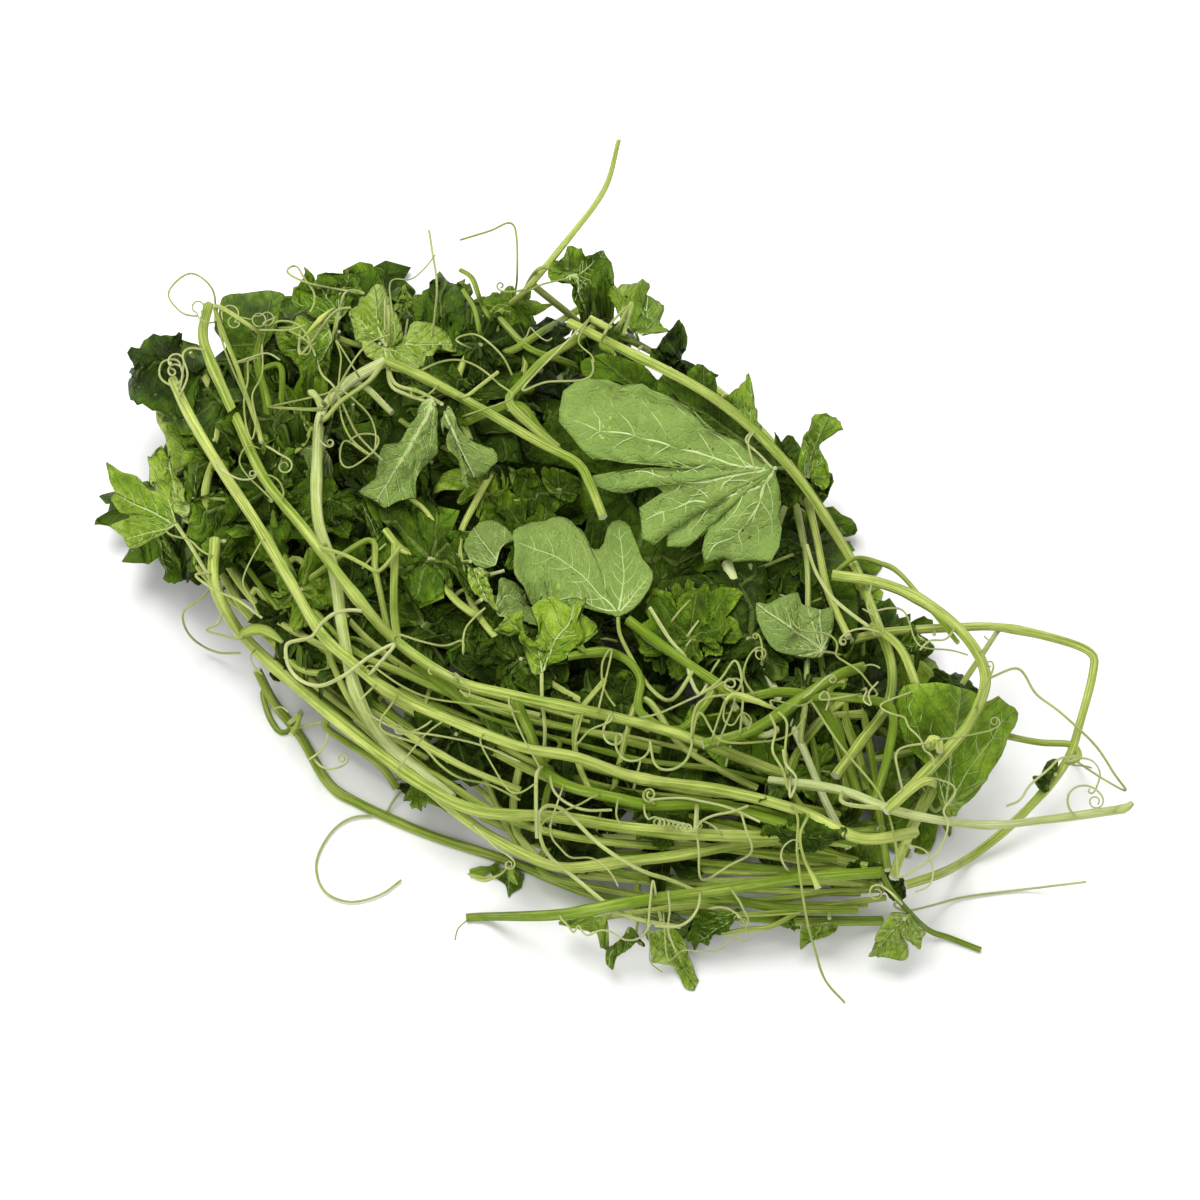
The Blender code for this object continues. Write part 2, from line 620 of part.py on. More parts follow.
def leafy_vines():
    return [
        Vine(
            "left_edge_vine", "dark",
            line(8, (195, 360), (215, 400), (215, 450), (205, 500), (225, 560), (262, 610), (310, 640),
                 (370, 670)),
            [line(3, (225, 560), (205, 595), (183, 612), (190, 636), (215, 652), (240, 653))],
            [
                blade((192, 352, 48), (130, 372, 44), spread=0.95, cup=0.5, curl=-0.3),
                blade((225, 400), (262, 455), spread=0.9),
                blade((215, 440), (170, 425, 40), spread=0.8, cup=0.3),
                blade((240, 500), (290, 560), spread=1.0, large=True),
                blade((225, 540), (195, 575), spread=0.5),
            ],
        ),
        Vine(
            "top_left_vine", "leaf",
            line(7, (215, 322, 56), (260, 330), (310, 330), (360, 345), (420, 350), (480, 350), (545, 372)
                ),
            [
                line(2.6, (215, 322), (213, 290, 62), (190, 273, 66), (168, 293, 64), (182, 313, 60),
                     (197, 316, 60)),
                line(4, (388, 360), (389, 331, 72), (388, 305, 78)),
                line(3, (430, 350), (437, 290, 78), (432, 250, 84), (429, 230, 88)),
            ],
            [
                blade((262, 345), (222, 298), spread=0.95),
                blade((338, 318), (306, 266, 70), spread=0.9, cup=0.3),
                blade((340, 330), (300, 396), spread=0.75, cup=0.3),
                blade((380, 345), (372, 288), spread=0.8, cup=0.35),
                blade((384, 345), (455, 345), spread=0.75, cup=0.3),
                blade((440, 345), (440, 270), spread=0.85, cup=0.2),
                blade((262, 352), (230, 395), spread=0.8),
            ],
        ),
        Vine(
            "left_inner_vine", "leaf",
            line(8, (262, 334), (257, 362), (267, 404), (266, 435), (262, 470), (270, 505), (282, 552),
                 (300, 592), (340, 640)),
            [
                line(7, (280, 366), (281, 400), (276, 430), (266, 462)),
                line(5, (263, 475), (285, 458), (302, 447), (312, 428)),
                line(2.6, (260, 440), (250, 410), (235, 375), (225, 350), (218, 325), (217, 305, 66)),
            ],
            [
                blade((268, 490), (225, 520), spread=0.9),
                blade((270, 500), (330, 540), spread=0.8),
                blade((300, 590), (350, 570), spread=0.8),
            ],
        ),
        Vine(
            "dark_middle_vine", "dark",
            line(7, (497, 317), (521, 345), (525, 365), (515, 403), (503, 450), (477, 500), (460, 538),
                 (465, 580), (480, 618), (520, 660), (580, 700), (650, 730)),
            [
                line(6, (490, 470), (430, 440), (400, 420)),
                line((4, 5, 5), (460, 590), (452, 597), (450, 565), (440, 535), (426, 511), (410, 498)),
                line(8, (475, 615), (456, 601), (441, 582), (430, 563), (402, 550), (385, 530)),
            ],
            [
                blade((505, 572), (470, 524), spread=0.8, cup=0.3),
                blade((470, 560), (492, 612), spread=0.7),
                blade((480, 600), (535, 590), spread=0.9),
                blade((500, 450), (560, 470), spread=0.9, large=True),
                blade((510, 410), (450, 440), spread=0.9),
                blade((430, 560), (370, 500), spread=0.7),
                blade((520, 660), (560, 610), spread=0.9),
            ],
        ),
        Vine(
            "pale_stub_vine", "pale",
            line((12, 9, 8, 8), (727, 563), (735, 585), (745, 610), (755, 643), (775, 690), (800, 740),
                 (825, 800), (850, 850)),
            [
                line(6, (768, 680), (760, 640), (752, 600), (750, 565)),
                line(6, (800, 745), (806, 690), (808, 590), (805, 550), (797, 505)),
            ],
            [
                blade((750, 640), (660, 588), spread=0.75, large=True),
                blade((757, 650), (700, 660), spread=0.8),
                blade((800, 690), (780, 730), spread=0.9),
                blade((805, 550), (845, 520), spread=0.8),
            ],
        ),
        Vine(
            "top_spike_vine", "stem",
            line((5, 7, 8, 8), (619, 140, 118), (605, 189, 108), (570, 237, 96), (524, 292, 80),
                 (495, 318), (470, 350), (455, 395), (470, 440)),
            [
                line(4, (524, 291), (534, 273, 88), (545, 267, 92), (570, 276, 92)),
                line(2.6, (512, 300), (517, 280, 84), (514, 225, 96), (490, 231, 96), (460, 240, 94)),
                line(8, (495, 318), (505, 352), (545, 330), (570, 315), (591, 303)),
            ],
            [
                blade((571, 277, 90), (603, 338, 70), spread=0.85, cup=0.4,
                      petiole=((524, 291), (534, 273, 88), (548, 267, 92))),
                blade((480, 345), (525, 330), spread=0.8),
                blade((455, 395), (400, 400), spread=0.8),
            ],
        ),
        Vine(
            "top_right_vine", "dark",
            line(8, (590, 318), (640, 345), (690, 372), (730, 400), (770, 440), (800, 480), (815, 530),
                 (828, 590), (850, 640)),
            [line(9, (600, 322), (571, 343), (545, 359), (521, 384), (509, 402), (532, 427), (560, 450))],
            [
                blade((640, 350), (612, 300, 66), spread=0.9, cup=0.3),
                blade((700, 380), (655, 332), spread=0.9, cup=0.3),
                blade((700, 432), (598, 360), spread=0.62, large=True),
                blade((745, 440), (713, 386), spread=0.8),
                blade((803, 478), (826, 414, 52), spread=0.7, cup=0.3),
                blade((800, 480), (775, 440), spread=0.9),
            ],
        ),
    ]


def upper_vines():
    return [
        Vine(
            "middle_leaf_vine", "leaf",
            line(10, (628, 620), (667, 649), (715, 682), (740, 698), (780, 692), (815, 700), (840, 740),
                 (860, 800)),
            [
                line(9, (715, 690), (680, 730), (640, 712), (641, 681), (630, 663), (611, 653),
                     (590, 653), (565, 657)),
                line(4, (700, 695), (691, 680), (685, 657), (671, 641), (650, 608)),
            ],
            [blade(LEAF_B_BASE, (522, 545), outline=LEAF_B_OUTLINE, cup=0.1, wave=0.02,
                   petiole=((672, 700), (652, 690), (637, 668), (620, 635)))],
        ),
        Vine(
            "right_arch_vine", "leaf",
            line(10, (570, 323), (620, 348), (680, 378), (722, 404), (762, 438), (800, 480), (830, 525),
                 (858, 573), (876, 620), (891, 663), (888, 703), (862, 740), (835, 776)),
            [],
            [blade(LEAF_A_BASE, (570, 420), outline=LEAF_A_OUTLINE, cup=0.06, curl=-0.05, wave=0.02,
                   petiole=((800, 480), (790, 470)))],
        ),
        Vine(
            "pale_upright_vine", "pale",
            line(12, (385, 362), (362, 374), (345, 386), (322, 414), (317, 465), (318, 520), (334, 570),
                 (343, 630), (356, 690), (382, 737), (425, 776), (452, 798)),
            [line(7, (318, 470), (335, 400), (360, 385), (392, 413))],
            [],
        ),
        Vine(
            "centre_diagonal_vine", "stem",
            line(10, (386, 361), (425, 378), (480, 408), (540, 443), (577, 463), (590, 485), (604, 520)),
            [],
            [
                blade((436, 402), (380, 498), spread=0.5, cup=0.3,
                      petiole=((388, 363), (391, 386), (410, 396)), large=True),
                blade((441, 402), (478, 488), spread=0.55, cup=0.3,
                      petiole=((388, 363), (395, 384), (420, 392))),
            ],
        ),
        Vine(
            "right_leaf_vine", "stem",
            line(9, (870, 626), (890, 638), (905, 656), (923, 705), (938, 745), (935, 785), (920, 815),
                 (903, 850), (893, 878)),
            [],
            [blade((945, 805), (960, 684), spread=0.62, cup=0.15, large=True,
                   petiole=((925, 800), (935, 812)))],
        ),
        Vine(
            "right_loop_vine", "stem",
            line(11, (832, 575), (880, 583), (922, 601), (963, 634), (985, 675), (972, 718), (944, 753),
                 (912, 786), (888, 808)),
            [line(5, (834, 574), (855, 558), (880, 563), (900, 574), (936, 616), (958, 643))],
            [],
        ),
    ]


def front_vines():
    return [
        Vine(
            "low_front_vine", "stem",
            line(11, (430, 790), (470, 823), (500, 842), (530, 857), (565, 868), (620, 862), (680, 855),
                 (740, 844), (800, 838), (850, 842)),
            [], [],
        ),
        Vine(
            "front_left_vine", "stem",
            line(12, (215, 540), (214, 582), (232, 622), (262, 656), (312, 700), (370, 747), (430, 789),
                 (480, 811), (560, 817), (640, 829), (740, 836), (850, 836)),
            [],
            [blade((178, 525, 40), (106, 490, 34), spread=1.1, cup=0.2, large=True,
                   petiole=((217, 590), (205, 570), (190, 545, 38)))],
        ),
        Vine(
            "centre_vine", "stem",
            line(11, (513, 695), (528, 728), (552, 778), (620, 799), (660, 806), (720, 806), (800, 828),
                 (860, 843)),
            [
                line((5, 4.5, 4.5, 4.5, 16, 6), (545, 762), (560, 742), (520, 728), (476, 712),
                     (446, 687), (425, 672), (410, 666)),
                line(6, (590, 790), (576, 755), (578, 716), (605, 680)),
            ],
            [blade((541, 676), (572, 588), spread=0.62, cup=0.3,
                   petiole=((543, 757), (545, 730), (542, 700)))],
        ),
        Vine(
            "left_outer_vine", "stem",
            line(11, (173, 380), (190, 416), (221, 468), (258, 525), (291, 582), (320, 632), (352, 662),
                 (390, 692), (450, 720), (520, 747), (577, 758), (640, 779), (720, 790), (800, 811),
                 (860, 838), (915, 832)),
            [line(2.8, (176, 388), (160, 378), (162, 362), (178, 360), (182, 372, 52))],
            [],
        ),
        Vine(
            "left_second_vine", "stem",
            line(11, (209, 305, 58), (203, 335), (211, 363), (240, 427), (266, 481), (307, 532),
                 (356, 596), (398, 642), (456, 680), (515, 696), (600, 714), (680, 735), (760, 766),
                 (790, 777)),
            [line(8, (398, 640), (394, 610), (395, 545))],
            [],
        ),
        Vine(
            "crossing_vine", "stem",
            line(11, (862, 667), (842, 673), (806, 695), (770, 720), (740, 735), (700, 745)),
            [
                line(9, (806, 697), (850, 698), (891, 708), (889, 750), (874, 802)),
                line(3, (808, 696), (840, 745), (880, 795), (895, 840), (898, 880)),
                line(2.8, (740, 735), (740, 680), (700, 695), (660, 713), (640, 718)),
            ],
            [],
        ),
        Vine(
            "long_cut_end_vine", "pale",
            line((9, 9, 8, 10), (770, 780), (840, 790), (900, 812), (980, 825, 22), (1050, 819, 20),
                 (1128, 808, 18)),
            [],
            [],
        ),
        Vine(
            "bottom_stub_vine", "stem",
            line((8, 12, 12, 11), (466, 918), (482, 917), (560, 915), (640, 901), (720, 890), (800, 878),
                 (880, 872)),
            [line(4, (700, 893), (670, 880), (640, 870), (600, 845), (560, 808), (540, 812), (545, 850),
                  (580, 882), (625, 915), (680, 927))],
            [],
        ),
    ]


def all_vines():
    return hidden_vines() + table_vines() + right_vines() + leafy_vines() + upper_vines() + front_vines()


# Solids


def in_frame(points):
    """Points of the layout in the part's own frame, in metres."""
    return (points - ORIGIN) * MM


def material(name, colour, roughness):
    made = bpy.data.materials.new(name)
    made.use_nodes = True
    shader = made.node_tree.nodes["Principled BSDF"]
    shader.inputs["Base Color"].default_value = (*colour, 1)
    shader.inputs["Roughness"].default_value = roughness
    shader.inputs["Metallic"].default_value = 0.0
    return made


def as_mesh(obj):
    """Replaces a curve by a mesh object of the same shape, with its caps joined on."""
    bpy.context.view_layer.update()
    evaluated = obj.evaluated_get(bpy.context.evaluated_depsgraph_get())
    mesh = bpy.data.meshes.new_from_object(evaluated)
    solid = bmesh.new()
    solid.from_mesh(mesh)
    bmesh.ops.remove_doubles(solid, verts=solid.verts, dist=CAP_WELD)
    solid.to_mesh(mesh)
    solid.free()
    name, place, collections = obj.name, obj.matrix_world.copy(), list(obj.users_collection)
    bpy.data.objects.remove(obj)
    made = bpy.data.objects.new(name, mesh)
    made.matrix_world = place
    for collection in collections:
        collection.objects.link(made)
    return made


def tube(name, points, radii, collection):
    curve = bpy.data.curves.new(name, "CURVE")
    curve.dimensions = "3D"
    curve.bevel_depth = MM
    curve.bevel_resolution = 1 if radii.max() > THIN_WIDTH * PIXEL / 2 else 0
    curve.use_fill_caps = True
    spline = curve.splines.new("POLY")
    spline.points.add(len(points) - 1)
    for knot, point, radius in zip(spline.points, in_frame(points), radii):
        knot.co = (*point, 1)
        knot.radius = radius
    obj = bpy.data.objects.new(name, curve)
    collection.objects.link(obj)
    return as_mesh(obj)


def sheet(name, points, faces, collection):
    mesh = bpy.data.meshes.new(name)
    mesh.from_pydata(in_frame(points).tolist(), [], faces)
    obj = bpy.data.objects.new(name, mesh)
    collection.objects.link(obj)
    shell = obj.modifiers.new("thickness", "SOLIDIFY")
    shell.thickness = BLADE_THICKNESS * MM
    shell.offset = 0
    return obj


def apply_modifiers(obj):
    bpy.context.view_layer.update()
    evaluated = obj.evaluated_get(bpy.context.evaluated_depsgraph_get())
    mesh = bpy.data.meshes.new_from_object(evaluated)
    obj.modifiers.clear()
    obj.data = mesh


def drop_scraps(mesh):
    """Removes the small loose bits and sealed hollows that a union leaves."""
    solid = bmesh.new()
    solid.from_mesh(mesh)
    left = set(solid.verts)
    scraps = []
    while left:
        reached = [left.pop()]
        for vertex in reached:
            near = {edge.other_vert(vertex) for edge in vertex.link_edges} & left
            left -= near
            reached += near
        if len(reached) < SCRAP_POINTS:
            scraps += reached
    bmesh.ops.delete(solid, geom=scraps, context="VERTS")
    solid.to_mesh(mesh)
    solid.free()


def fused(vine, tubes, blades, colours, parts, guides, table):
    """One solid of a vine's stem and all that grows from it, cut flat where it lies on the table."""
    pieces = bpy.data.collections.new("pieces of " + vine.name)
    guides.children.link(pieces)
    obj = tube(vine.name, *tubes[0], parts)
    for points, radii in tubes[1:]:
        tube("stalk", points, radii, pieces)
    for points, faces in blades:
        sheet("blade", points, faces, pieces)
    if len(pieces.objects):
        union = obj.modifiers.new("grown together", "BOOLEAN")
        union.operation = "UNION"
        union.operand_type = "COLLECTION"
        union.collection = pieces
        union.solver = "MANIFOLD"
    cut = obj.modifiers.new("flat spots", "BOOLEAN")
    cut.operation = "DIFFERENCE"
    cut.object = table
    cut.solver = "MANIFOLD"
    apply_modifiers(obj)
    for piece in list(pieces.objects):
        bpy.data.objects.remove(piece)
    bpy.data.collections.remove(pieces)
    drop_scraps(obj.data)
    obj.data.shade_smooth()
    obj.data.set_sharp_from_angle(angle=SHARP_ANGLE)
    obj.data.materials.clear()
    obj.data.materials.append(colours[vine.colour])
    return obj


def main():
    for obj in list(bpy.data.objects):
        bpy.data.objects.remove(obj)
    parts = bpy.data.collections.new("bunch of bitter melon leaves")
    guides = bpy.data.collections.new("cutters")
    bpy.context.scene.collection.children.link(parts)
    bpy.context.scene.collection.children.link(guides)
    guides.hide_render = True

    bpy.ops.mesh.primitive_cube_add(size=1, location=(0, 0, -0.05))
    table = bpy.context.object
    table.name = "table_cutter"
    table.scale = (1, 1, 0.1)
    table.display_type = "WIRE"
    table.hide_render = True
    for collection in table.users_collection:
        collection.objects.unlink(table)
    guides.objects.link(table)

    colours = {
        "stem": material("stem green", STEM_GREEN, 0.55),
        "pale": material("pale stem", PALE_GREEN, 0.55),
        "leaf": material("leaf green", LEAF_GREEN, 0.65),
        "dark": material("dark leaf", DARK_GREEN, 0.7),
    }
    top, heap = bare_table(), heap_field()
    for vine in all_vines():
        tubes, blades = lay_vine(vine, top, heap)
        fused(vine, tubes, blades, colours, parts, guides, table)


main()
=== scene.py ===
"""Looks of a bunch of cut bitter melon vine tips, lying on a pale floor.

The vines are laid out by the same rules as the model's solids, in the same order, and each solid is
replaced by fine stems, leaves and tendrils that follow it. Routes are read as pixels of a 1200 pixel
picture taken from above and in front, and a third number is a height. The layout is in millimetres, with
X to the right of the picture, Y away from it and Z up.
"""

import math
from collections import namedtuple

import bpy
import numpy as np
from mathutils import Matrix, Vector


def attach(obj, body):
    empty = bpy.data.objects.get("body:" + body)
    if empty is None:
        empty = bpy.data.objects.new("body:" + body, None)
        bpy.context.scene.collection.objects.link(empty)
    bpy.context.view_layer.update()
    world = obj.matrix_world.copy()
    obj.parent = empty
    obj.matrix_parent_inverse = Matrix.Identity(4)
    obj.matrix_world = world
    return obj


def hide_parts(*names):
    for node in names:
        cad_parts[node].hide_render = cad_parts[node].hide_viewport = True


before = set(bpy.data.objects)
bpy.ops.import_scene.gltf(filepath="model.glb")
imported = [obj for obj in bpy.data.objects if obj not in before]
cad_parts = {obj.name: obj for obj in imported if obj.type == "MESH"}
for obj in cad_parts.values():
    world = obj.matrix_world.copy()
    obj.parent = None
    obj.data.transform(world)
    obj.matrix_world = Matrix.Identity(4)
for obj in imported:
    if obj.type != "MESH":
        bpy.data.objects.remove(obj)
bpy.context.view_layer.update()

MM = 0.001
TINY = 1e-9
SEED = 11

# Picture that the routes are read in
PICTURE = 1200
ELEVATION = math.radians(52)
DISTANCE = 1000.0
LENS = 85.0
SENSOR = 36.0
AIM_HEIGHT = 30.0
MIDDLE = PICTURE / 2
PIXEL_SLOPE = SENSOR / LENS / PICTURE
PIXEL = DISTANCE * PIXEL_SLOPE
PLAN = None

# Middle of the finished bunch in plan, which the part's own frame stands on
ORIGIN = np.array((-0.7, 20.8, 0.0))

# Shape of the heap, before its top vines
HEAP_MIDDLE = (-10.0, 16.0)
HEAP_HEADING = math.radians(-36)
HEAP_HALF_LENGTH = 168.0
HEAP_HALF_WIDTH = 98.0
HEAP_HEIGHT = 52.0
HEAP_FALL = 20.0
HEAP_SQUARENESS = 3.0
HEAP_STEEPNESS = 0.5
HEAP_RIM = 0.75

# Clearances of one vine on another and the grid of heights, in millimetres
CLEAR = 1.6
SINK = 0.45
TABLE = -4.0
CELL = 1.0
GRID_HALF = 240.0
CEILING = 170.0
HEIGHT_STEP = 0.5

# Steps, tolerances and sizes of plain lines and blades, in millimetres, pixels and shares
PATH_STEP = 3.0
DENSE_STEP = 0.7
EASE = 13
CORNER = 2.0
STEM_TOLERANCE = 1.0
THIN_TOLERANCE = 0.9
BLADE_THICKNESS = 0.7
BLADE_SAMPLE = 3.0
THIN_WIDTH = 8.5
HELD_GAP = 2.5
BLADE_GRIP = 0.4
WAVES = 5
STEEPEST = 0.75
INNER_RING = 0.55
BLADE_MIDDLE = 0.15
LEAF_CLEAR = 0.5
PETIOLE_SHARE = 0.015
PETIOLE_WIDTH = 2.5
PETIOLE_END_WIDTH = 4.0
LIFT_ROUNDS = 60
LIFT_LEFT = 0.05
BALL_FLOOR = 0.04

# Fine stems and threads, in millimetres and shares
SIDE_HINT = (0.31, 0.17, 0.93)
GRAIN_LENGTH = 10
STEM_SIDES = 10
THIN_SIDES = 8
THREAD_SIDES = 6
THREAD_ROUNDS = 3
LONG_LINE = 60
SEEDS = 50
PHASES = 6
RIBS = 5
RIB_DEPTH = 0.10
RIB_TWIST = 0.02
FIRST_KNOT = 10
KNOT_GAP = 75
KNOT_SPREAD = (0.7, 1.3)
KNOT_LENGTH = 4.0
KNOT_SWELL = 0.16
UNEVENNESS = 0.03
UNEVEN_TURN = 0.21
RING_DEGREES = 30
THREAD_WIDTH = 4.6
OVER_WIDTH = 0.84
SLIM_WIDTH = 3.5
STEM_SLIM = 0.94
STEM_TONES = (-0.05, 0.85)
EXTRA_PETIOLE = (3.4, 2.8)
PETIOLE_SINK = (10.0, 7.0)

# Stray tendrils and the curls they end in, in pixels, radians and, for the curls' sweeps, degrees
STRAY_TENDRILS = {"stem": 1, "pale": 1, "leaf": 1, "dark": 0}
STRAY_WIDTHS = (2.8, 2.2, 1.6)
STRAY_FROM = (0.1, 0.9)
STRAY_STEP = 9.0
STRAY_STEPS = (3, 8)
STRAY_BEND = 0.35
STRAY_WOBBLE = 0.3
STRAY_CURLS = (4, 9)
STRAY_SWEEPS = (200, 620)
STRAY_END = 0.45

# Fine leaves, in millimetres and shares of the midrib
SPOKES = 60
RINGS_PER_MM = 0.38
RING_COUNTS = (9, 30)
RING_CROWDING = 0.9
LOBES = 7
LOBE_TURN = math.tau / LOBES
LOBE_REACH = (1.0, 0.92, 0.78, 0.5)
LOBE_VARIES = 0.14
LOBE_WAIST = (0.42, 0.80)
LOBE_NARROW = 4.5
LOBE_POINT = 0.07
LOBE_LEVEL = 0.3
HEEL_DEPTH = 0.85
HEEL_WIDTH = 0.3
TEETH = 2.0
TOOTH = 0.11
WARP = 0.8
RIM_CURL = 0.05
RIM_WAVES = (3, 6)
CURL_FROM = 0.6
CURL_POWER = 1.5
CURL_CRUSH = 0.08
FOLD_FROM = 0.25
HEART_CRUSH = 0.3
LOOSE_REACH = 1.2
PAST_RIM = 1.1
LEAF_THICKNESS = 0.35
PRESS_GAP = 0.3
LEAF_REACH = 1.5
DRAPE_SINK = 0.5
COVER_SHARE = 0.05
DRAPE_ROUNDS = 5
SMOOTH_ROUNDS = 10
WIDEN_ROUNDS = 5

# Crumples: the longest crease in millimetres and how many sets, for a leaf's warp, folds and wrinkles
WARP_CREASES = (22, 3)
FOLD_CREASES = (20, 4)
FINE_CREASES = ((7, 4), (3.2, 2))
CREASE_FINER = 0.74
CREASE_WEAKER = 0.85
CREASE_BEND = 1.1
CREASE_BEND_SIZE = 0.8
CREASE_STRENGTH = 1.6

# Veins that stand out of a leaf, in millimetres and shares
VEIN_LEAF = 40
NEIGHBOURS = 4
APART = 0.0001
VEIN_WIDTH = 0.46
VEIN_CROWN = 0.3
VEIN_EDGE = 0.14
VEIN_STEP = 0.03
VEIN_SAFE = 0.98
VEIN_TAPER = 0.35
VEIN_LEAST = 4
VEIN_REACH = 1.3
VEIN_POINTS = 40
VEIN_BEND = 0.12
VEIN_LOBES = (0, 1, -1, 2, -2)
TRACED_LOBES = (0, 0.7, -0.7, 1.5, -1.5)
TRACED_MARK = 100
BRANCH = 0.42
BRANCHES = 5
BRANCH_LEAST = 6
BRANCH_PLACES = (0.16, 0.88)
BRANCH_POINTS = 9
BRANCH_FALL = 1.15
BRANCH_ANGLE = 0.95
BRANCH_BEND = 1.1
BRANCH_WIDTH = 0.4

# Small leaves along the stems: gaps in the leafy end and the bare end in millimetres, and their looks
FILLERS = {
    "stem": (60, 110, ("green", "dark", "green")),
    "pale": (60, 110, ("dark", "green")),
    "leaf": (22, 60, ("green", "mid", "deep", "dark")),
    # The black look among the dark vines' small leaves is partly painted shade, for the dark gaps inside the
    # heap.
    "dark": (17, 26, ("dark", "black", "green", "dark", "deep", "mid")),
}
BARE_VINES = (
    "right_arch_vine", "middle_leaf_vine", "pale_upright_vine", "centre_diagonal_vine", "right_leaf_vine",
    "right_loop_vine", "low_front_vine", "front_left_vine", "centre_vine", "left_outer_vine",
    "left_second_vine", "crossing_vine", "long_cut_end_vine", "bottom_stub_vine", "far_right_vine",
    "outer_front_vine", "bottom_leaf_vine", "end_leaf_vine", "low_shaded_vine", "middle_shaded_vine",
)
LEAFY_END = 0.25
FILLER_LENGTHS = (14, 27)
FILLER_FLOOR = 12
FILLER_LEAST = 4
FILLER_GAPS = (0.6, 1.4)
FILLER_FOLLOW = 0.4
FILLER_HEIGHTS = (-6, 5)
FILLER_FOLDS = (0.0, 0.45, 0.7, -0.5)
FILLER_SCATTER = 6
FILLER_RISE = 3
FILLER_SPREADS = (0.6, 1.05)
FILLER_CUPS = (-0.1, 0.5)
FILLER_CURLS = (-0.5, 0.1)

# Size of a leaf's folds as a share of its midrib, and of its wrinkles in millimetres
CRUMPLES = {
    "black": (0.16, 1.1), "dark": (0.15, 0.8), "deep": (0.10, 0.6), "mid": (0.08, 0.6),
    "green": (0.13, 0.7), "bright": (0.09, 0.55), "pale": (0.03, 0.2), "soft": (0.08, 0.5),
    "smooth": (0.02, 0.09),
}
# Tone of each look along the leaf tones; the black look is partly painted shade, for small leaves deep in the
# heap.
LOOKS = {
    "black": 0.04, "dark": 0.20, "deep": 0.34, "green": 0.50, "mid": 0.62, "bright": 0.76, "pale": 0.9,
    "soft": 0.72,
}
TONE_SPREAD = 0.12
RAISED_LOOKS = ("pale", "soft", "bright", "mid", "green")
UNDER_LOOKS = ("pale", "soft")
LEAF_FABRIC = "wilted leaf"

# Colours, linear
STEM_BRIGHT = (0.62, 0.70, 0.18)
STEM_DEEP = (0.17, 0.28, 0.012)
PALE_BRIGHT = (0.76, 0.82, 0.42)
PALE_DEEP = (0.40, 0.50, 0.09)
THREAD_BRIGHT = (0.76, 0.80, 0.36)
THREAD_DEEP = (0.46, 0.56, 0.12)
CUT_END = (0.76, 0.80, 0.55)
# The first tones are near black: partly the dark green of wilted leaves, partly painted shade for leaves deep
# in the heap, where the gaps are dark.
LEAF_TONES = (
    (0.008, 0.014, 0.001), (0.026, 0.052, 0.003), (0.062, 0.125, 0.005), (0.135, 0.250, 0.009),
    (0.25, 0.38, 0.030), (0.38, 0.51, 0.10),
)
UPPER_VEIN_DARK = (0.06, 0.11, 0.01)
UPPER_VEIN = (0.46, 0.58, 0.14)
UNDER_DEEP = (0.12, 0.21, 0.038)
UNDER_LIGHT = (0.25, 0.35, 0.080)
UNDER_VEIN = (0.56, 0.64, 0.26)
VEIN_BRIGHT = (0.50, 0.60, 0.26)
VEIN_DEEP = (0.22, 0.34, 0.07)
SPECK = (0.02, 0.025, 0.006)
FLOOR_COLOUR = (0.90, 0.90, 0.90)

# Light
WORLD_LIGHT = 0.67
LAMPS = (
    ("overhead lamp", (-0.25, 0.15, 1.3), 1.0, 16.0),
    ("front lamp", (-0.3, -1.1, 0.9), 0.8, 5.0),
)

# Half of a leaf's outline, as degrees from the midrib and reach in midribs
LARGE_HALF = (
    (0, 1.0), (12, 0.84), (22, 0.72), (30, 0.50), (41, 0.80), (52, 0.90), (64, 0.70), (76, 0.44),
    (90, 0.64), (104, 0.70), (120, 0.42), (142, 0.50), (164, 0.32), (180, 0.06),
)
SMALL_HALF = ((0, 1.0), (28, 0.50), (50, 0.88), (77, 0.44), (104, 0.68), (142, 0.44), (180, 0.06))

# Outlines of the two largest leaves, in pixels round the petiole's end
LEAF_A_VEINS = (
    ((775, 468), (740, 466), (700, 455), (640, 437), (600, 430), (574, 421)),
    ((775, 468), (740, 475), (700, 482), (660, 478), (620, 470), (598, 479)),
    ((775, 468), (764, 485), (720, 500), (690, 505), (660, 520), (638, 529)),
    ((775, 468), (764, 485), (758, 506), (750, 518), (728, 540), (705, 560)),
)
LEAF_A_TRACE = (
    (777, 500), (778, 535), (776, 552), (768, 560), (750, 562), (725, 562), (703, 564), (699, 550),
    (702, 535), (713, 521), (716, 518), (706, 526), (700, 534), (684, 545), (668, 548), (670, 536),
    (663, 533), (654, 541), (647, 546), (639, 536), (637, 520), (636, 504), (650, 497), (664, 487),
    (655, 485), (632, 490), (602, 494), (592, 483), (588, 475), (612, 472), (645, 471), (672, 469),
    (645, 467), (615, 464), (590, 460), (573, 440), (558, 421), (560, 396), (575, 384), (598, 379),
    (625, 384), (655, 393), (672, 399), (686, 412), (704, 424), (722, 434), (740, 445), (756, 456),
    (772, 466),
)
LEAF_A_BASE = (775, 468)
LEAF_A_OUTLINE = (
    (771, 560), (750, 562), (722, 566), (703, 562), (699, 550), (712, 517), (690, 541), (668, 549),
    (655, 538), (643, 546), (636, 538), (637, 505), (662, 486), (632, 489), (600, 491), (590, 478),
    (668, 471), (640, 466), (598, 455), (560, 422), (575, 386), (604, 381), (650, 393), (686, 416),
    (712, 419), (738, 434), (760, 452),
)
LEAF_B_VEINS = (
    ((617, 613), (605, 600), (575, 570), (550, 555), (514, 544)),
    ((618, 612), (622, 585), (622, 555), (619, 530)),
    ((616, 613), (596, 606), (568, 592), (545, 586)),
    ((619, 612), (634, 595), (646, 578)),
)
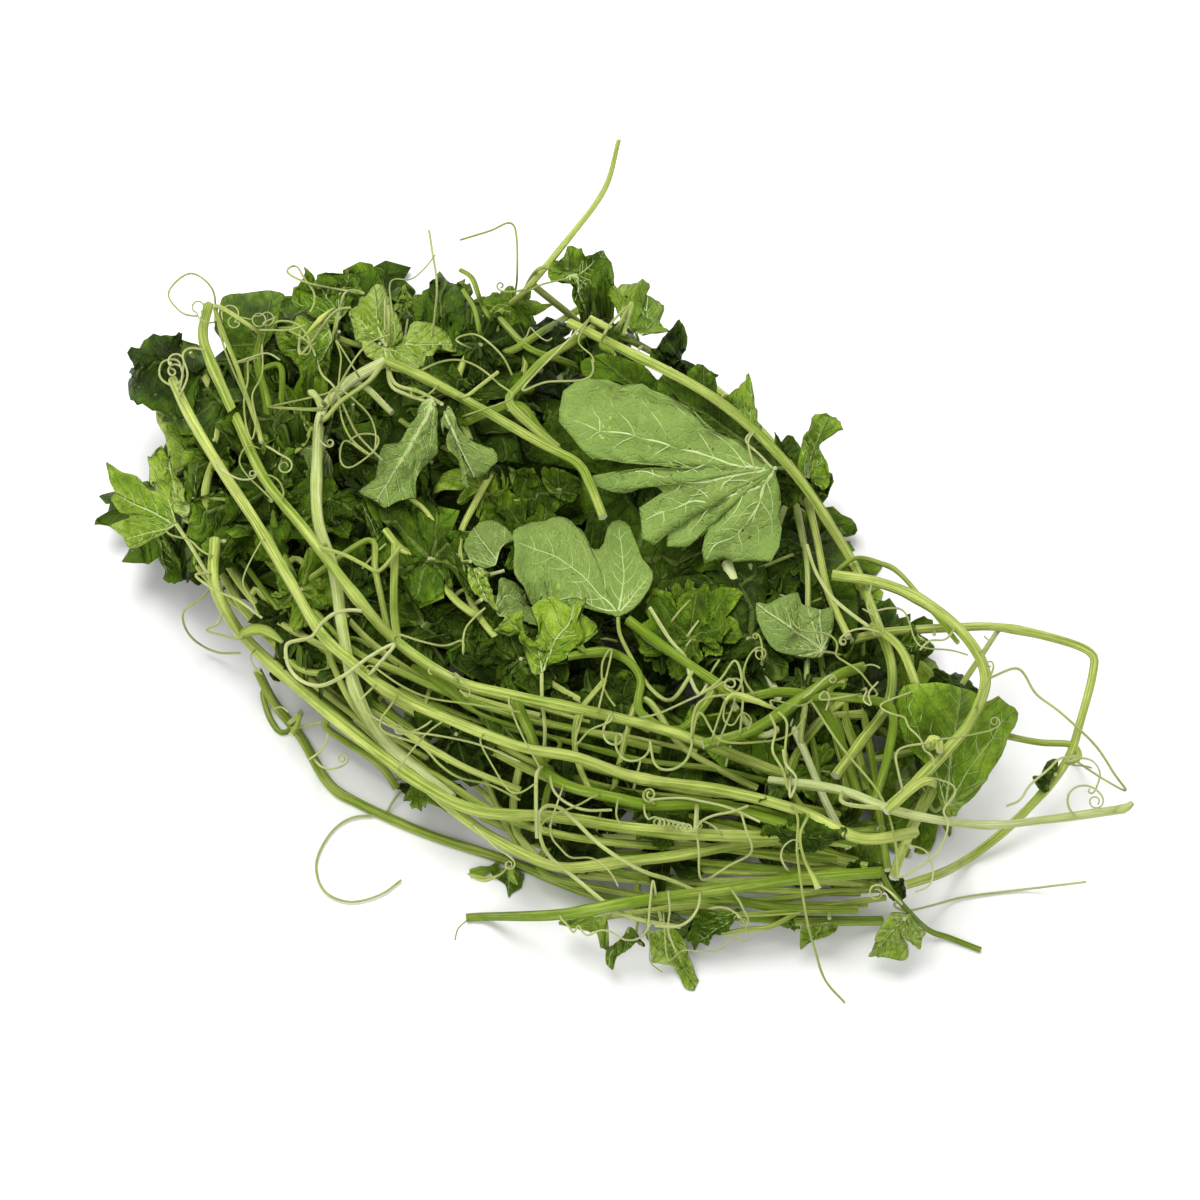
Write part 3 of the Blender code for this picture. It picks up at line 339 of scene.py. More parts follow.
LEAF_B_TRACE = (
    (626, 611), (640, 604), (648, 590), (651, 575), (643, 560), (638, 545), (630, 530), (620, 522),
    (611, 524), (604, 533), (600, 545), (594, 551), (587, 545), (583, 532), (572, 523), (556, 517),
    (545, 521), (522, 524), (511, 530), (513, 545), (511, 560), (517, 576), (528, 587), (542, 596),
    (560, 594), (578, 600), (595, 609), (610, 615),
)
LEAF_B_BASE = (618, 617)
LEAF_B_OUTLINE = (
    (604, 611), (584, 601), (540, 580), (516, 562), (510, 532), (522, 522), (555, 518), (576, 523),
    (588, 536), (598, 551), (605, 530), (616, 522), (627, 526), (638, 544), (650, 574), (645, 590),
    (631, 606),
)

Vine = namedtuple("Vine", "name colour stem lines blades")
Line = namedtuple("Line", "width points turn")
Blade = namedtuple(
    "Blade",
    "base tip spread cup curl wave petiole outline large turn rise look veins trace fold heart smooth",
)


def line(width, *points, turn=0.0):
    return Line(width, points, turn)


def blade(
    base, tip, spread=0.9, cup=0.15, curl=-0.1, wave=0.06, petiole=(), outline=None, large=False, turn=0.0,
    rise=0.0, look="green", veins=(), trace=(), fold=0.0, heart=0.4, smooth=False,
):
    return Blade(
        base, tip, spread, cup, curl, wave, petiole, outline, large, turn, rise, look, veins, trace, fold,
        heart,
        smooth,
    )


# The picture's rays


def spot(turn, u, v, z):
    """Point at height z on the ray of pixel (u, v) of the camera turned this far, or over (u, v) in plan."""
    if turn is PLAN:
        return np.stack(np.broadcast_arrays(u, v, z), axis=-1)
    across = (u - MIDDLE) * PIXEL_SLOPE
    down = (v - MIDDLE) * PIXEL_SLOPE
    sine, cosine = math.sin(ELEVATION), math.cos(ELEVATION)
    run = (AIM_HEIGHT + DISTANCE * sine - z) / (sine + down * cosine)
    x = across * run
    y = run * (cosine - down * sine) - DISTANCE * cosine
    c, s = math.cos(turn), math.sin(turn)
    return np.stack(np.broadcast_arrays(c * x - s * y, s * x + c * y, z), axis=-1)


def pixel_of(turn, point):
    """Pixel (u, v) of a point in the picture of the camera turned this far."""
    if turn is PLAN:
        return np.array(point[:2], float)
    c, s = math.cos(turn), math.sin(turn)
    x = c * point[0] + s * point[1]
    y = c * point[1] - s * point[0]
    sine, cosine = math.sin(ELEVATION), math.cos(ELEVATION)
    away = y + DISTANCE * cosine
    drop = AIM_HEIGHT + DISTANCE * sine - point[2]
    depth = away * cosine + drop * sine
    down = (drop * cosine - away * sine) / depth
    return np.array((x / depth, down)) / PIXEL_SLOPE + MIDDLE


# The heap and what has been laid on it


def heap_shares(x, y):
    """How far a plan position lies along and aside in the heap, in its half length and half width."""
    c, s = math.cos(HEAP_HEADING), math.sin(HEAP_HEADING)
    along = ((x - HEAP_MIDDLE[0]) * c + (y - HEAP_MIDDLE[1]) * s) / HEAP_HALF_LENGTH
    aside = ((y - HEAP_MIDDLE[1]) * c - (x - HEAP_MIDDLE[0]) * s) / HEAP_HALF_WIDTH
    return along, aside


def heap_height(x, y, kept_up=False):
    """Height of the heap. Kept up, it stays as high as at its rim on the side that faces away."""
    along, aside = heap_shares(x, y)
    if kept_up:
        along, aside = np.maximum(along, -HEAP_RIM), np.minimum(aside, HEAP_RIM)
    inside = 1 - np.abs(along) ** HEAP_SQUARENESS - np.abs(aside) ** HEAP_SQUARENESS
    return (HEAP_HEIGHT - HEAP_FALL * along) * np.clip(inside, 0, 1) ** HEAP_STEEPNESS


def heap_point(along, aside):
    """Plan position at these shares of the heap's half length and half width."""
    c, s = math.cos(HEAP_HEADING), math.sin(HEAP_HEADING)
    a, b = along * HEAP_HALF_LENGTH, aside * HEAP_HALF_WIDTH
    return HEAP_MIDDLE[0] + a * c - b * s, HEAP_MIDDLE[1] + a * s + b * c


def cells(points):
    """Grid cell of each point."""
    last = int(2 * GRID_HALF / CELL)
    index = np.rint((points[..., :2] + GRID_HALF) / CELL).astype(int)
    return tuple(np.clip(index, 0, last)[..., axis] for axis in (0, 1))


def bare_table():
    side = int(2 * GRID_HALF / CELL) + 1
    return np.full((side, side), TABLE)


def heap_field():
    """The heap as the picture's rays meet it, with its far side kept up."""
    side = np.arange(int(2 * GRID_HALF / CELL) + 1) * CELL - GRID_HALF
    return heap_height(side[:, None], side[None, :], kept_up=True)


def grown(top, reach):
    """The field swollen by a ball, so that a centre above it is at least this far from what was laid."""
    out = top + reach
    steps = int(reach / CELL)
    for i in range(-steps, steps + 1):
        for j in range(-steps, steps + 1):
            left = reach**2 - (i * i + j * j) * CELL**2
            if left > 0:
                np.maximum(out, np.roll(top, (i, j), (0, 1)) + math.sqrt(left), out=out)
    return out


def clear_height(field, turn, u, v):
    """Height at which each pixel's ray, followed down from the camera, first meets the field."""
    z = np.arange(0, CEILING, HEIGHT_STEP)
    points = spot(turn, u[:, None], v[:, None], z[None, :])
    blocked = field[cells(points)] > z
    return np.where(blocked, z + HEIGHT_STEP, 0).max(axis=1)


def balls(points, reach):
    """Grid cells under balls of this reach at the points, and how far the balls stand up there."""
    steps = int(reach / CELL + 0.5)
    rows, columns = cells(points)
    for i in range(-steps, steps + 1):
        for j in range(-steps, steps + 1):
            rise = np.sqrt(np.maximum(reach**2 - (i * i + j * j) * CELL**2, BALL_FLOOR * reach**2))
            yield (rows + i, columns + j), rise


def stamp(top, points, reach):
    """Raises the field over balls of this reach at the points."""
    for place, rise in balls(points, reach):
        np.maximum.at(top, place, points[:, 2] + rise)


# Lines: stems, petioles and tendrils


def curve_between(a, b, c, d, t):
    """The part from b to c of the smooth curve through four points, at shares t of the way."""
    bend = 2 * a - 5 * b + 4 * c - d
    return 0.5 * (2 * b + (c - a) * t + bend * t**2 + (3 * b - a - 3 * c + d) * t**3)


def run_along(points):
    """Distance along a line at each of its points."""
    return np.concatenate([[0], np.cumsum(np.linalg.norm(np.diff(points, axis=0), axis=1))])


def unit(vectors):
    """The vectors brought to a length of one."""
    return vectors / np.maximum(np.linalg.norm(vectors, axis=-1), TINY)[..., None]


def flowing(points, step):
    """Smooth curve through the points, at steps of about this many pixels."""
    p = np.array(points, float)
    p = np.vstack([2 * p[0] - p[1], p, 2 * p[-1] - p[-2]])
    pieces = []
    for a, b, c, d in zip(p, p[1:], p[2:], p[3:]):
        count = max(1, math.ceil(math.dist(b[:2], c[:2]) / step))
        t = (np.arange(count) / count)[:, None]
        pieces.append(curve_between(a, b, c, d, t))
    pieces.append(p[-2:-1])
    return np.vstack(pieces)


def with_heights(points, turn, heap):
    """Gives each pixel its height: its own third number, or that of the heap there."""
    flat = np.array([point[:2] for point in points], float)
    found = clear_height(heap, turn, flat[:, 0], flat[:, 1])
    heights = [point[2] if len(point) > 2 else z for point, z in zip(points, found)]
    return np.column_stack([flat, heights])


def eased(height):
    """Smooth bumps that are nowhere lower than the heights."""
    windows = np.lib.stride_tricks.sliding_window_view(np.pad(height, EASE, mode="edge"), 2 * EASE + 1)
    kernel = np.hanning(2 * EASE + 3)[1:-1]
    return np.convolve(np.pad(windows.max(axis=1), EASE, mode="edge"), kernel / kernel.sum(), mode="valid")


def upper(a, b):
    """The higher of two heights, with the corner between them rounded."""
    return (a + b + np.sqrt((a - b) ** 2 + CORNER**2)) / 2


def thinned(points, tolerance):
    """Indices of the points that keep the line within the tolerance."""
    keep = {0, len(points) - 1}
    spans = [(0, len(points) - 1)]
    while spans:
        first, last = spans.pop()
        if last - first < 2:
            continue
        chord = points[last] - points[first]
        between = points[first + 1 : last] - points[first]
        along = np.clip(between @ chord / max(chord @ chord, TINY), 0, 1)
        off = np.linalg.norm(between - along[:, None] * chord, axis=1)
        if off.max() > tolerance:
            middle = first + 1 + int(off.argmax())
            keep.add(middle)
            spans += [(first, middle), (middle, last)]
    return sorted(keep)


def width_along(width, count):
    """Radius in millimetres at each point, from one width in pixels or several along the line."""
    widths = np.atleast_1d(np.array(width, float))
    return np.interp(np.linspace(0, 1, count), np.linspace(0, 1, len(widths)), widths) * PIXEL / 2


def laid_line(top, heap, piece, root=None, end=None):
    """Centre line and radii of a line, lifted clear of what was laid between the points that hold it."""
    route = with_heights(piece.points, piece.turn, heap)
    if root is not None:
        route = np.vstack([[*pixel_of(piece.turn, root), root[2]], route])
    step = PATH_STEP * PIXEL if piece.turn is PLAN else PATH_STEP
    path = flowing(route, step)
    radius = width_along(piece.width, len(path))
    need = clear_height(grown(top, radius.max() + CLEAR), piece.turn, path[:, 0], path[:, 1])
    height = upper(path[:, 2], eased(need))
    height = np.maximum(height, radius - min(SINK, radius.max() / 4))
    points = spot(piece.turn, path[:, 0], path[:, 1], height)
    for place, held in ((0, root), (-1, end)):
        if held is not None:
            points[place] = held
            away = np.linalg.norm(points - held, axis=1) > HELD_GAP
            away[0] = away[-1] = True
            points, radius = points[away], radius[away]
    return points, radius


def coarse_line(points, radius):
    """The line as the model's solid has it, with few corners."""
    tolerance = STEM_TOLERANCE if radius.max() > THIN_WIDTH * PIXEL / 2 else THIN_TOLERANCE
    return points[thinned(points, tolerance)]


def dense(points, step=DENSE_STEP):
    """Points along a bent line at small steps."""
    pieces = []
    for a, b in zip(points, points[1:]):
        count = max(1, math.ceil(math.dist(a, b) / step))
        t = (np.arange(count) / count)[:, None]
        pieces.append(a + (b - a) * t)
    return np.vstack([*pieces, points[-1:]])


def nearest(points, turn, pixel):
    """The point of a line that lies nearest to a pixel in its picture."""
    seen = np.array([pixel_of(turn, point) for point in points])
    return points[np.linalg.norm(seen - np.array(pixel[:2]), axis=1).argmin()]


def rooted_line(top, heap, piece, spine):
    """A laid line that grows from the nearest point of its stem."""
    return laid_line(top, heap, piece, nearest(spine, piece.turn, piece.points[0]))


# Blades


def polar_outline(half):
    """Whole outline as (along, across) from half of it in degrees and reach."""
    turned = [*half, *((-angle, reach) for angle, reach in reversed(half[1:-1]))]
    return np.array([(r * math.cos(math.radians(a)), r * math.sin(math.radians(a))) for a, r in turned])


def plan_of(piece, pixels):
    """Pixels as (along, across) the midrib, in shares of its length."""
    base, tip = np.array(piece.base[:2], float), np.array(piece.tip[:2], float)
    midrib = (tip - base) / np.hypot(*(tip - base)) ** 2
    offsets = np.array(pixels, float) - base
    return np.column_stack([offsets @ midrib, offsets @ (midrib[1], -midrib[0])])


def blade_plan(piece):
    """Outline in the blade's own plane, along and across its midrib, in shares of the midrib's length."""
    if piece.outline is None:
        plan = polar_outline(LARGE_HALF if piece.large else SMALL_HALF)
        return plan * (1, piece.spread)
    return plan_of(piece, piece.outline)


def rings_of(plan, inner, middle):
    """Points of a blade from a middle on its midrib out: the middle, then the rings."""
    centre = np.array((middle, 0.0))
    return np.vstack([[centre], *(centre + (plan - centre) * share for share in inner), plan])


def blade_middle(piece):
    """Share of the midrib at which a blade's triangles meet: its base where the notches run deep."""
    return 0.0 if piece.outline else BLADE_MIDDLE


def inner_rings(piece):
    return (INNER_RING,) if piece.outline else ()


def fan_faces(count, rings):
    """Triangles from the base to the first ring and between the rings."""
    faces = [(0, 1 + k, 1 + (k + 1) % count) for k in range(count)]
    for level in range(rings - 1):
        start = 1 + level * count
        for k in range(count):
            a, b = start + k, start + (k + 1) % count
            faces += [(a, a + count, b + count), (a, b + count, b)]
    return faces


def blade_rise(piece, plan, length):
    """Height of each point over the blade's flat plane: cupped at the midrib, curled, waved at the rim."""
    along, across = plan[:, 0], plan[:, 1]
    rim = np.hypot(along, across)
    angle = np.arctan2(across, along)
    waves = np.sin(WAVES * angle + piece.base[0]) * rim**2
    return length * (piece.cup * np.abs(across) + piece.curl * along * np.abs(along) + piece.wave * waves)


def blade_ends(piece, heap):
    """Base and tip of a blade as pixels with their heights."""
    ends = with_heights([piece.base, piece.tip], piece.turn, heap)
    ends[:, 2] += piece.rise
    return ends


def pixel_size(turn):
    """Millimetres to a pixel near the middle of the picture, or one in plan."""
    return 1.0 if turn is PLAN else PIXEL


def blade_height(piece, ends, plan, length):
    """Height of the plain blade at each point of its plan."""
    slope = np.clip(ends[1, 2] - ends[0, 2], -length, length)
    return ends[0, 2] + slope * plan[:, 0] + blade_rise(piece, plan, length)


def triangle_samples(size):
    """Weights of the corners at points spread over a triangle of this size."""
    count = max(2, math.ceil(size / BLADE_SAMPLE))
    steps = range(count + 1)
    return [(i / count, j / count, (count - i - j) / count) for i in steps for j in steps[: count + 1 - i]]


def laid_blade(top, heap, piece):
    """Points, faces and samples of a blade's middle surface, draped clear over what was laid."""
    ends = blade_ends(piece, heap)
    midrib = ends[1, :2] - ends[0, :2]
    aside = np.array((midrib[1], -midrib[0]))
    outline = blade_plan(piece)
    inner = inner_rings(piece)
    plan = rings_of(outline, inner, blade_middle(piece))
    pixels = ends[0, :2] + plan[:, :1] * midrib + plan[:, 1:] * aside
    scale = pixel_size(piece.turn)
    length = np.hypot(*midrib) * scale
    wanted = blade_height(piece, ends, plan, length)
    faces = fan_faces(len(outline), len(inner) + 1)

    rows, corners = [], []
    for face in faces:
        a, b, c = pixels[list(face)] * scale
        size = max(math.dist(a, b), math.dist(b, c), math.dist(c, a))
        for weights in triangle_samples(size):
            corners.append(face)
            rows.append(weights)
    mix = np.zeros((len(rows), len(plan)))
    np.put_along_axis(mix, np.array(corners), np.array(rows), axis=1)
    seen = mix @ pixels
    need = clear_height(grown(top, BLADE_THICKNESS / 2 + CLEAR), piece.turn, seen[:, 0], seen[:, 1])
    need = np.maximum(need, BLADE_THICKNESS)
    height = np.maximum(wanted, BLADE_THICKNESS)
    for _ in range(LIFT_ROUNDS):
        short = np.maximum(need - mix @ height, 0)
        if short.max() < LIFT_LEFT:
            break
        height += (mix * short[:, None]).max(axis=0)
    apart = np.linalg.norm(pixels[:, None] - pixels[None], axis=2) * scale
    height = (height[None] - STEEPEST * apart).max(axis=1)
    points = spot(piece.turn, pixels[:, 0], pixels[:, 1], height)
    samples = spot(piece.turn, seen[:, 0], seen[:, 1], mix @ height)
    return points, samples, ends, (plan, faces, height)


# Fine stems and tendrils


def smoothed(points, rounds=2):
    """The line with its small kinks eased, and its ends kept."""
    out = points.copy()
    for _ in range(rounds):
        out[1:-1] = (out[:-2] + 2 * out[1:-1] + out[2:]) / 4
    return out


def frames_along(points):
    """Two directions across the line at each point, turned no more than the line turns."""
    tangents = unit(np.gradient(points, axis=0))
    side = np.cross(tangents[0], SIDE_HINT)
    sides = []
    for tangent in tangents:
        side = side - (side @ tangent) * tangent
        side = side / max(np.linalg.norm(side), TINY)
        sides.append(side)
    sides = np.array(sides)
    return sides, np.cross(tangents, sides)


def tube_mesh(points, radii, sides, ribs=0.0, tone=0.5, seed=0.0):
    """Skin of a round stem: points, faces, and at each point its grain, tone and whether it is cut."""
    across, up = frames_along(points)
    turn = np.arange(sides) * math.tau / sides
    run = run_along(points)
    twist = run[:, None] * RIB_TWIST + seed
    reach = radii[:, None] * (1 + ribs * np.cos(RIBS * turn[None, :] + twist))
    outward = np.cos(turn)[None, :, None] * across[:, None] + np.sin(turn)[None, :, None] * up[:, None]
    skin = points[:, None] + reach[..., None] * outward
    count = len(points)
    grain = np.empty((count, sides, 3))
    grain[..., 0] = np.cos(turn[None, :] + twist / RIBS) + seed
    grain[..., 1] = np.sin(turn[None, :] + twist / RIBS)
    grain[..., 2] = run[:, None] / GRAIN_LENGTH
    i, j = np.meshgrid(np.arange(count - 1), np.arange(sides), indexing="ij")
    k = (j + 1) % sides
    faces = np.stack([i * sides + j, i * sides + k, (i + 1) * sides + k, (i + 1) * sides + j], axis=-1)
    coords, grains, loops = [skin.reshape(-1, 3)], [grain.reshape(-1, 3)], faces.reshape(-1, 4).tolist()
    cut = [np.zeros(count * sides)]
    for end, order in ((0, -1), (-1, 1)):
        start = sum(len(c) for c in coords)
        coords += [skin[end], points[end][None]]
        grains += [grain[end], grain[end].mean(axis=0)[None]]
        cut.append(np.ones(sides + 1))
        for a in range(sides):
            loops.append([start + sides, start + a, start + (a + 1) % sides][::order])
    made = np.concatenate(coords)
    shade = np.column_stack([np.full(len(made), tone), np.concatenate(cut), np.zeros(len(made))])
    return made, loops, np.concatenate(grains), shade


def knotted(radii, rng):
    """Radii with a slight swelling at each joint of the stem and a little unevenness."""
    run = np.arange(len(radii))
    out = radii.copy()
    place = rng.uniform(FIRST_KNOT, KNOT_GAP)
    while place < len(radii):
        out = out * (1 + KNOT_SWELL * np.exp(-(((run - place) / KNOT_LENGTH) ** 2)))
        place += rng.uniform(*KNOT_SPREAD) * KNOT_GAP
    return out * (1 + UNEVENNESS * np.sin(run * UNEVEN_TURN + rng.uniform(0, PHASES)))


def ring(u, v, radius, start, sweep, z=None, end=None, drift=(0, 0)):
    """Pixels of a curl round (u, v), clockwise from the right in degrees, as its radius and middle change."""
    count = max(3, round(abs(sweep) / RING_DEGREES))
    end = radius if end is None else end
    points = []
    for share in np.linspace(0, 1, count + 1):
        angle = math.radians(start + sweep * share)
        reach = radius + (end - radius) * share
        point = (u + drift[0] * share + reach * math.cos(angle),
                 v + drift[1] * share + reach * math.sin(angle))
        points.append(point if z is None else (*point, z))
    return points


# Fine leaves


def lobed_outline(piece, rng):
    """Outline of a wilted leaf with broad lobes, narrow notches and a few teeth, in shares of its midrib."""
    angle = (np.arange(SPOKES) / SPOKES * 2 - 1) * math.pi
    lobe = np.rint(angle / LOBE_TURN)
    within = np.abs(angle - lobe * LOBE_TURN) / (LOBE_TURN / 2)
    half = LOBES // 2
    number = lobe.astype(int) + half
    varied = (1 + rng.uniform(-LOBE_VARIES, LOBE_VARIES, LOBES))[number]
    tips = np.interp(np.abs(lobe), (0, 1, 2, 3), LOBE_REACH) * varied
    notch = (angle / LOBE_TURN + (half + 1)).astype(int) % (LOBES + 1)
    waist = rng.uniform(*LOBE_WAIST, LOBES + 1)[notch]
    reach = tips * (1 - (1 - waist) * within**LOBE_NARROW)
    reach *= 1 + LOBE_POINT * (np.cos(within * math.pi) - LOBE_LEVEL)
    reach *= 1 + TOOTH * (((within * TEETH + rng.uniform(0, 1, LOBES)[number]) % 1) - 0.5)
    reach *= 1 - HEEL_DEPTH * np.exp(-(((math.pi - np.abs(angle)) / HEEL_WIDTH) ** 2))
    return np.column_stack([reach * np.cos(angle), reach * np.sin(angle) * piece.spread])


def drawn_outline(piece):
    """A traced outline at even steps, halfway between straight sides and a smooth curve."""
    corners = plan_of(piece, piece.trace or piece.outline)
    closed = np.vstack([corners[-1:], corners, corners[:2]])
    spans = np.linalg.norm(np.diff(corners, axis=0, append=corners[:1]), axis=1)
    reached = np.concatenate([[0], np.cumsum(spans)])
    place = np.arange(SPOKES) / SPOKES * reached[-1]
    index = np.clip(np.searchsorted(reached, place, side="right") - 1, 0, len(corners) - 1)
    t = ((place - reached[index]) / spans[index])[:, None]
    a, b, c, d = (closed[index + step] for step in range(4))
    return 0.5 * curve_between(a, b, c, d, t) + 0.5 * (b + (c - b) * t)


def creases(x, y, rng, longest, count):
    """Crumples in random directions, each set finer than the last, from about minus one to one."""
    out = np.zeros_like(x)
    total = 0.0
    for step in range(count):
        angle, size = rng.uniform(0, math.tau), math.pi / (longest * CREASE_FINER**step)
        along = x * math.cos(angle) + y * math.sin(angle)
        beside = y * math.cos(angle) - x * math.sin(angle)
        bend = CREASE_BEND * np.sin(CREASE_BEND_SIZE * size * beside + rng.uniform(0, PHASES))
        folds = 1 - 2 * np.abs(np.sin(size * along + bend + rng.uniform(0, PHASES)))
        out += CREASE_WEAKER**step * folds
        total += CREASE_WEAKER**step
    return out / total * CREASE_STRENGTH


def coarse_height(at, plan, faces, height):
    """Height of the plain blade at points of its plan, carried on past its rim."""
    best = np.full(len(at), -np.inf)
    out = np.zeros(len(at))
    for face in faces:
        a, b, c = plan[list(face)]
        area = (b - a)[0] * (c - a)[1] - (b - a)[1] * (c - a)[0]
        if abs(area) < TINY:
            continue
        s = ((at - a)[:, 0] * (c - a)[1] - (at - a)[:, 1] * (c - a)[0]) / area
        t = ((b - a)[0] * (at - a)[:, 1] - (b - a)[1] * (at - a)[:, 0]) / area
        inside = np.minimum(np.minimum(s, t), 1 - s - t)
        s, t = np.clip(s, 0, PAST_RIM), np.clip(t, 0, PAST_RIM)
        low, one, other = height[list(face)]
        here = low + s * (one - low) + t * (other - low)
        out = np.where(inside > best, here, out)
        best = np.maximum(inside, best)
    return out


def grid_smoothed(height, rounds):
    """Heights on a leaf's rings and spokes, evened with their neighbours."""
    for _ in range(rounds):
        height = (2 * height + np.roll(height, 1, 1) + np.roll(height, -1, 1)) / 4
        inner = height.copy()
        inner[1:-1] = (2 * height[1:-1] + height[:-2] + height[2:]) / 4
        height = inner
    return height


def grid_widened(height, rounds):
    """Each point takes the highest of its neighbours, a number of times."""
    for _ in range(rounds):
        height = np.maximum.reduce([height, np.roll(height, 1, 1), np.roll(height, -1, 1)])
        inward = np.vstack([height[1:], height[-1:]])
        outward = np.vstack([height[:1], height[:-1]])
        height = np.maximum.reduce([height, inward, outward])
    return height


def plain_fit(x, y, height):
    """The gently curved surface that is nearest to the heights."""
    a, b, c = x.ravel(), y.ravel(), height.ravel()
    terms = np.column_stack([np.ones_like(a), a, b, a * a, a * b, b * b])
    factors, *_ = np.linalg.lstsq(terms, c, rcond=None)
    return (terms @ factors).reshape(height.shape)


def fine_blade(field, piece, ends, coarse, rng):
    """Rings and spokes of points over a leaf, which follows its plain blade and clears what lies below."""
    drawn = piece.trace or piece.outline
    outline = drawn_outline(piece) if drawn else lobed_outline(piece, rng)
    midrib = ends[1, :2] - ends[0, :2]
    aside = np.array((midrib[1], -midrib[0]))
    length = np.hypot(*midrib) * pixel_size(piece.turn)
    size = length * np.linalg.norm(outline, axis=1).max()
    rings = int(np.clip(size * RINGS_PER_MM, *RING_COUNTS))
    share = np.linspace(0, 1, rings + 1)[1:] ** RING_CROWDING
    heart = np.array((piece.heart if drawn else 0.0, 0.0))
    plan = heart + share[:, None, None] * (outline - heart)[None]
    x, y = plan[..., 0] * length, plan[..., 1] * length
    stiff = piece.smooth or piece.outline
    crush, wrinkle = CRUMPLES["smooth" if stiff else piece.look]
    warp = np.stack([creases(x, y, rng, *WARP_CREASES), creases(y, x, rng, *WARP_CREASES)], axis=-1)
    spread = plan + warp * crush * WARP * share[:, None, None]
    pixels = ends[0, :2] + spread[..., :1] * midrib + spread[..., 1:] * aside
    low = coarse_height(plan.reshape(-1, 2), *coarse).reshape(x.shape)
    low = plain_fit(x, y, low) if stiff else grid_smoothed(low, DRAPE_ROUNDS)
    turn = np.arange(SPOKES) / SPOKES * math.tau
    curl = np.clip((share - CURL_FROM) / (1 - CURL_FROM), 0, 1)[:, None] ** CURL_POWER
    rim = curl * np.sin(rng.integers(*RIM_WAVES) * turn + rng.uniform(0, PHASES))[None]
    gable = -piece.fold * (np.abs(y) - FOLD_FROM * length * piece.spread)
    strength = HEART_CRUSH + (1 - HEART_CRUSH) * share[:, None]
    large = crush * length * creases(x, y, rng, *FOLD_CREASES) * strength
    height = low + large + RIM_CURL * length * rim * (crush / CURL_CRUSH) + gable
    u, v = pixels[..., 0].ravel(), pixels[..., 1].ravel()
    need = clear_height(field, piece.turn, u, v).reshape(x.shape)
    lift = np.maximum(need - height, 0)
    if stiff:
        lift = grid_smoothed(grid_widened(lift, WIDEN_ROUNDS), SMOOTH_ROUNDS)
        height = grid_smoothed(np.maximum(height + lift, need), 1)
    else:
        height = np.maximum(grid_smoothed(height + lift, DRAPE_ROUNDS), need - DRAPE_SINK)
    height = height + wrinkle * sum(creases(x, y, rng, *sets) for sets in FINE_CREASES)
    height = np.maximum(height, LEAF_THICKNESS)
    return spot(piece.turn, pixels[..., 0], pixels[..., 1], height), plan, share, outline


def surface_normals(points, turn):
    """Normals on the side that is seen, from the camera or from above in plan."""
    across = np.roll(points, -1, 1) - np.roll(points, 1, 1)
    normals = unit(np.cross(np.gradient(points, axis=0), across))
    seen_from = (0, 0, 1) if turn is PLAN else (0, -math.cos(ELEVATION), math.sin(ELEVATION))
    return normals * np.where(normals @ np.array(seen_from) < 0, -1, 1)[..., None]


def leaf_mesh(points, plan, share, piece, tone, seed):
    """A thin leaf: both its faces and its rim, with its plan and shades at each point."""
    normals = surface_normals(points, piece.turn)
    rings, spokes = points.shape[:2]
    coords, plans, shades, loops = [], [], [], []
    showing_under = piece.look in UNDER_LOOKS
    for layer, way in ((0, 1), (1, -1)):
        start = sum(len(c) for c in coords)
        shell = points + way * LEAF_THICKNESS / 2 * normals
        coords += [shell.reshape(-1, 3), shell[0].mean(axis=0)[None]]
        plans += [plan.reshape(-1, 2), plan[0].mean(axis=0)[None]]
        under = float(showing_under == (layer == 0))
        reach = np.concatenate([np.repeat(share, spokes), [0]])
        shades.append(np.column_stack([np.full(len(reach), tone), np.full(len(reach), under), reach]))
        i, j = np.meshgrid(np.arange(rings - 1), np.arange(spokes), indexing="ij")
        k = (j + 1) % spokes
        quads = np.stack([i * spokes + j, (i + 1) * spokes + j, (i + 1) * spokes + k, i * spokes + k],
                         axis=-1)
        round_heart = np.arange(spokes)
        fan = np.column_stack([np.full(spokes, rings * spokes), round_heart, (round_heart + 1) % spokes])
        loops += (start + quads.reshape(-1, 4)[:, ::way]).tolist() + (start + fan[:, ::way]).tolist()
    below = rings * spokes + 1
    last = (rings - 1) * spokes
    for a in range(spokes):
        b = (a + 1) % spokes
        loops.append([last + a, below + last + a, below + last + b, last + b])
    plans = np.concatenate(plans)
    drawn = np.full(len(plans), float(bool(piece.veins)))
    marks = np.column_stack([plans, seed + drawn * TRACED_MARK])
    return np.concatenate(coords), loops, marks, np.concatenate(shades)


def within_outline(places, outline):
    """Whether each place of the plan lies inside the outline."""
    inside = np.zeros(len(places), bool)
    for a, b in zip(outline, np.roll(outline, -1, axis=0)):
        if a[1] == b[1]:
            continue
        crossed = (a[1] > places[:, 1]) != (b[1] > places[:, 1])
        edge = a[0] + (places[:, 1] - a[1]) / (b[1] - a[1]) * (b[0] - a[0])
        inside ^= crossed & (places[:, 0] < edge)
    return inside


def on_leaf(places, points, plan):
    """Points of the leaf's surface at places of its plan."""
    flat, surface = plan.reshape(-1, 2), points.reshape(-1, 3)
    apart = np.linalg.norm(places[:, None] - flat[None], axis=2) + APART
    close = np.argpartition(apart, NEIGHBOURS, axis=1)[:, :NEIGHBOURS]
    weight = 1 / np.take_along_axis(apart, close, axis=1) ** 2
    return (surface[close] * weight[..., None]).sum(axis=1) / weight.sum(axis=1)[:, None]


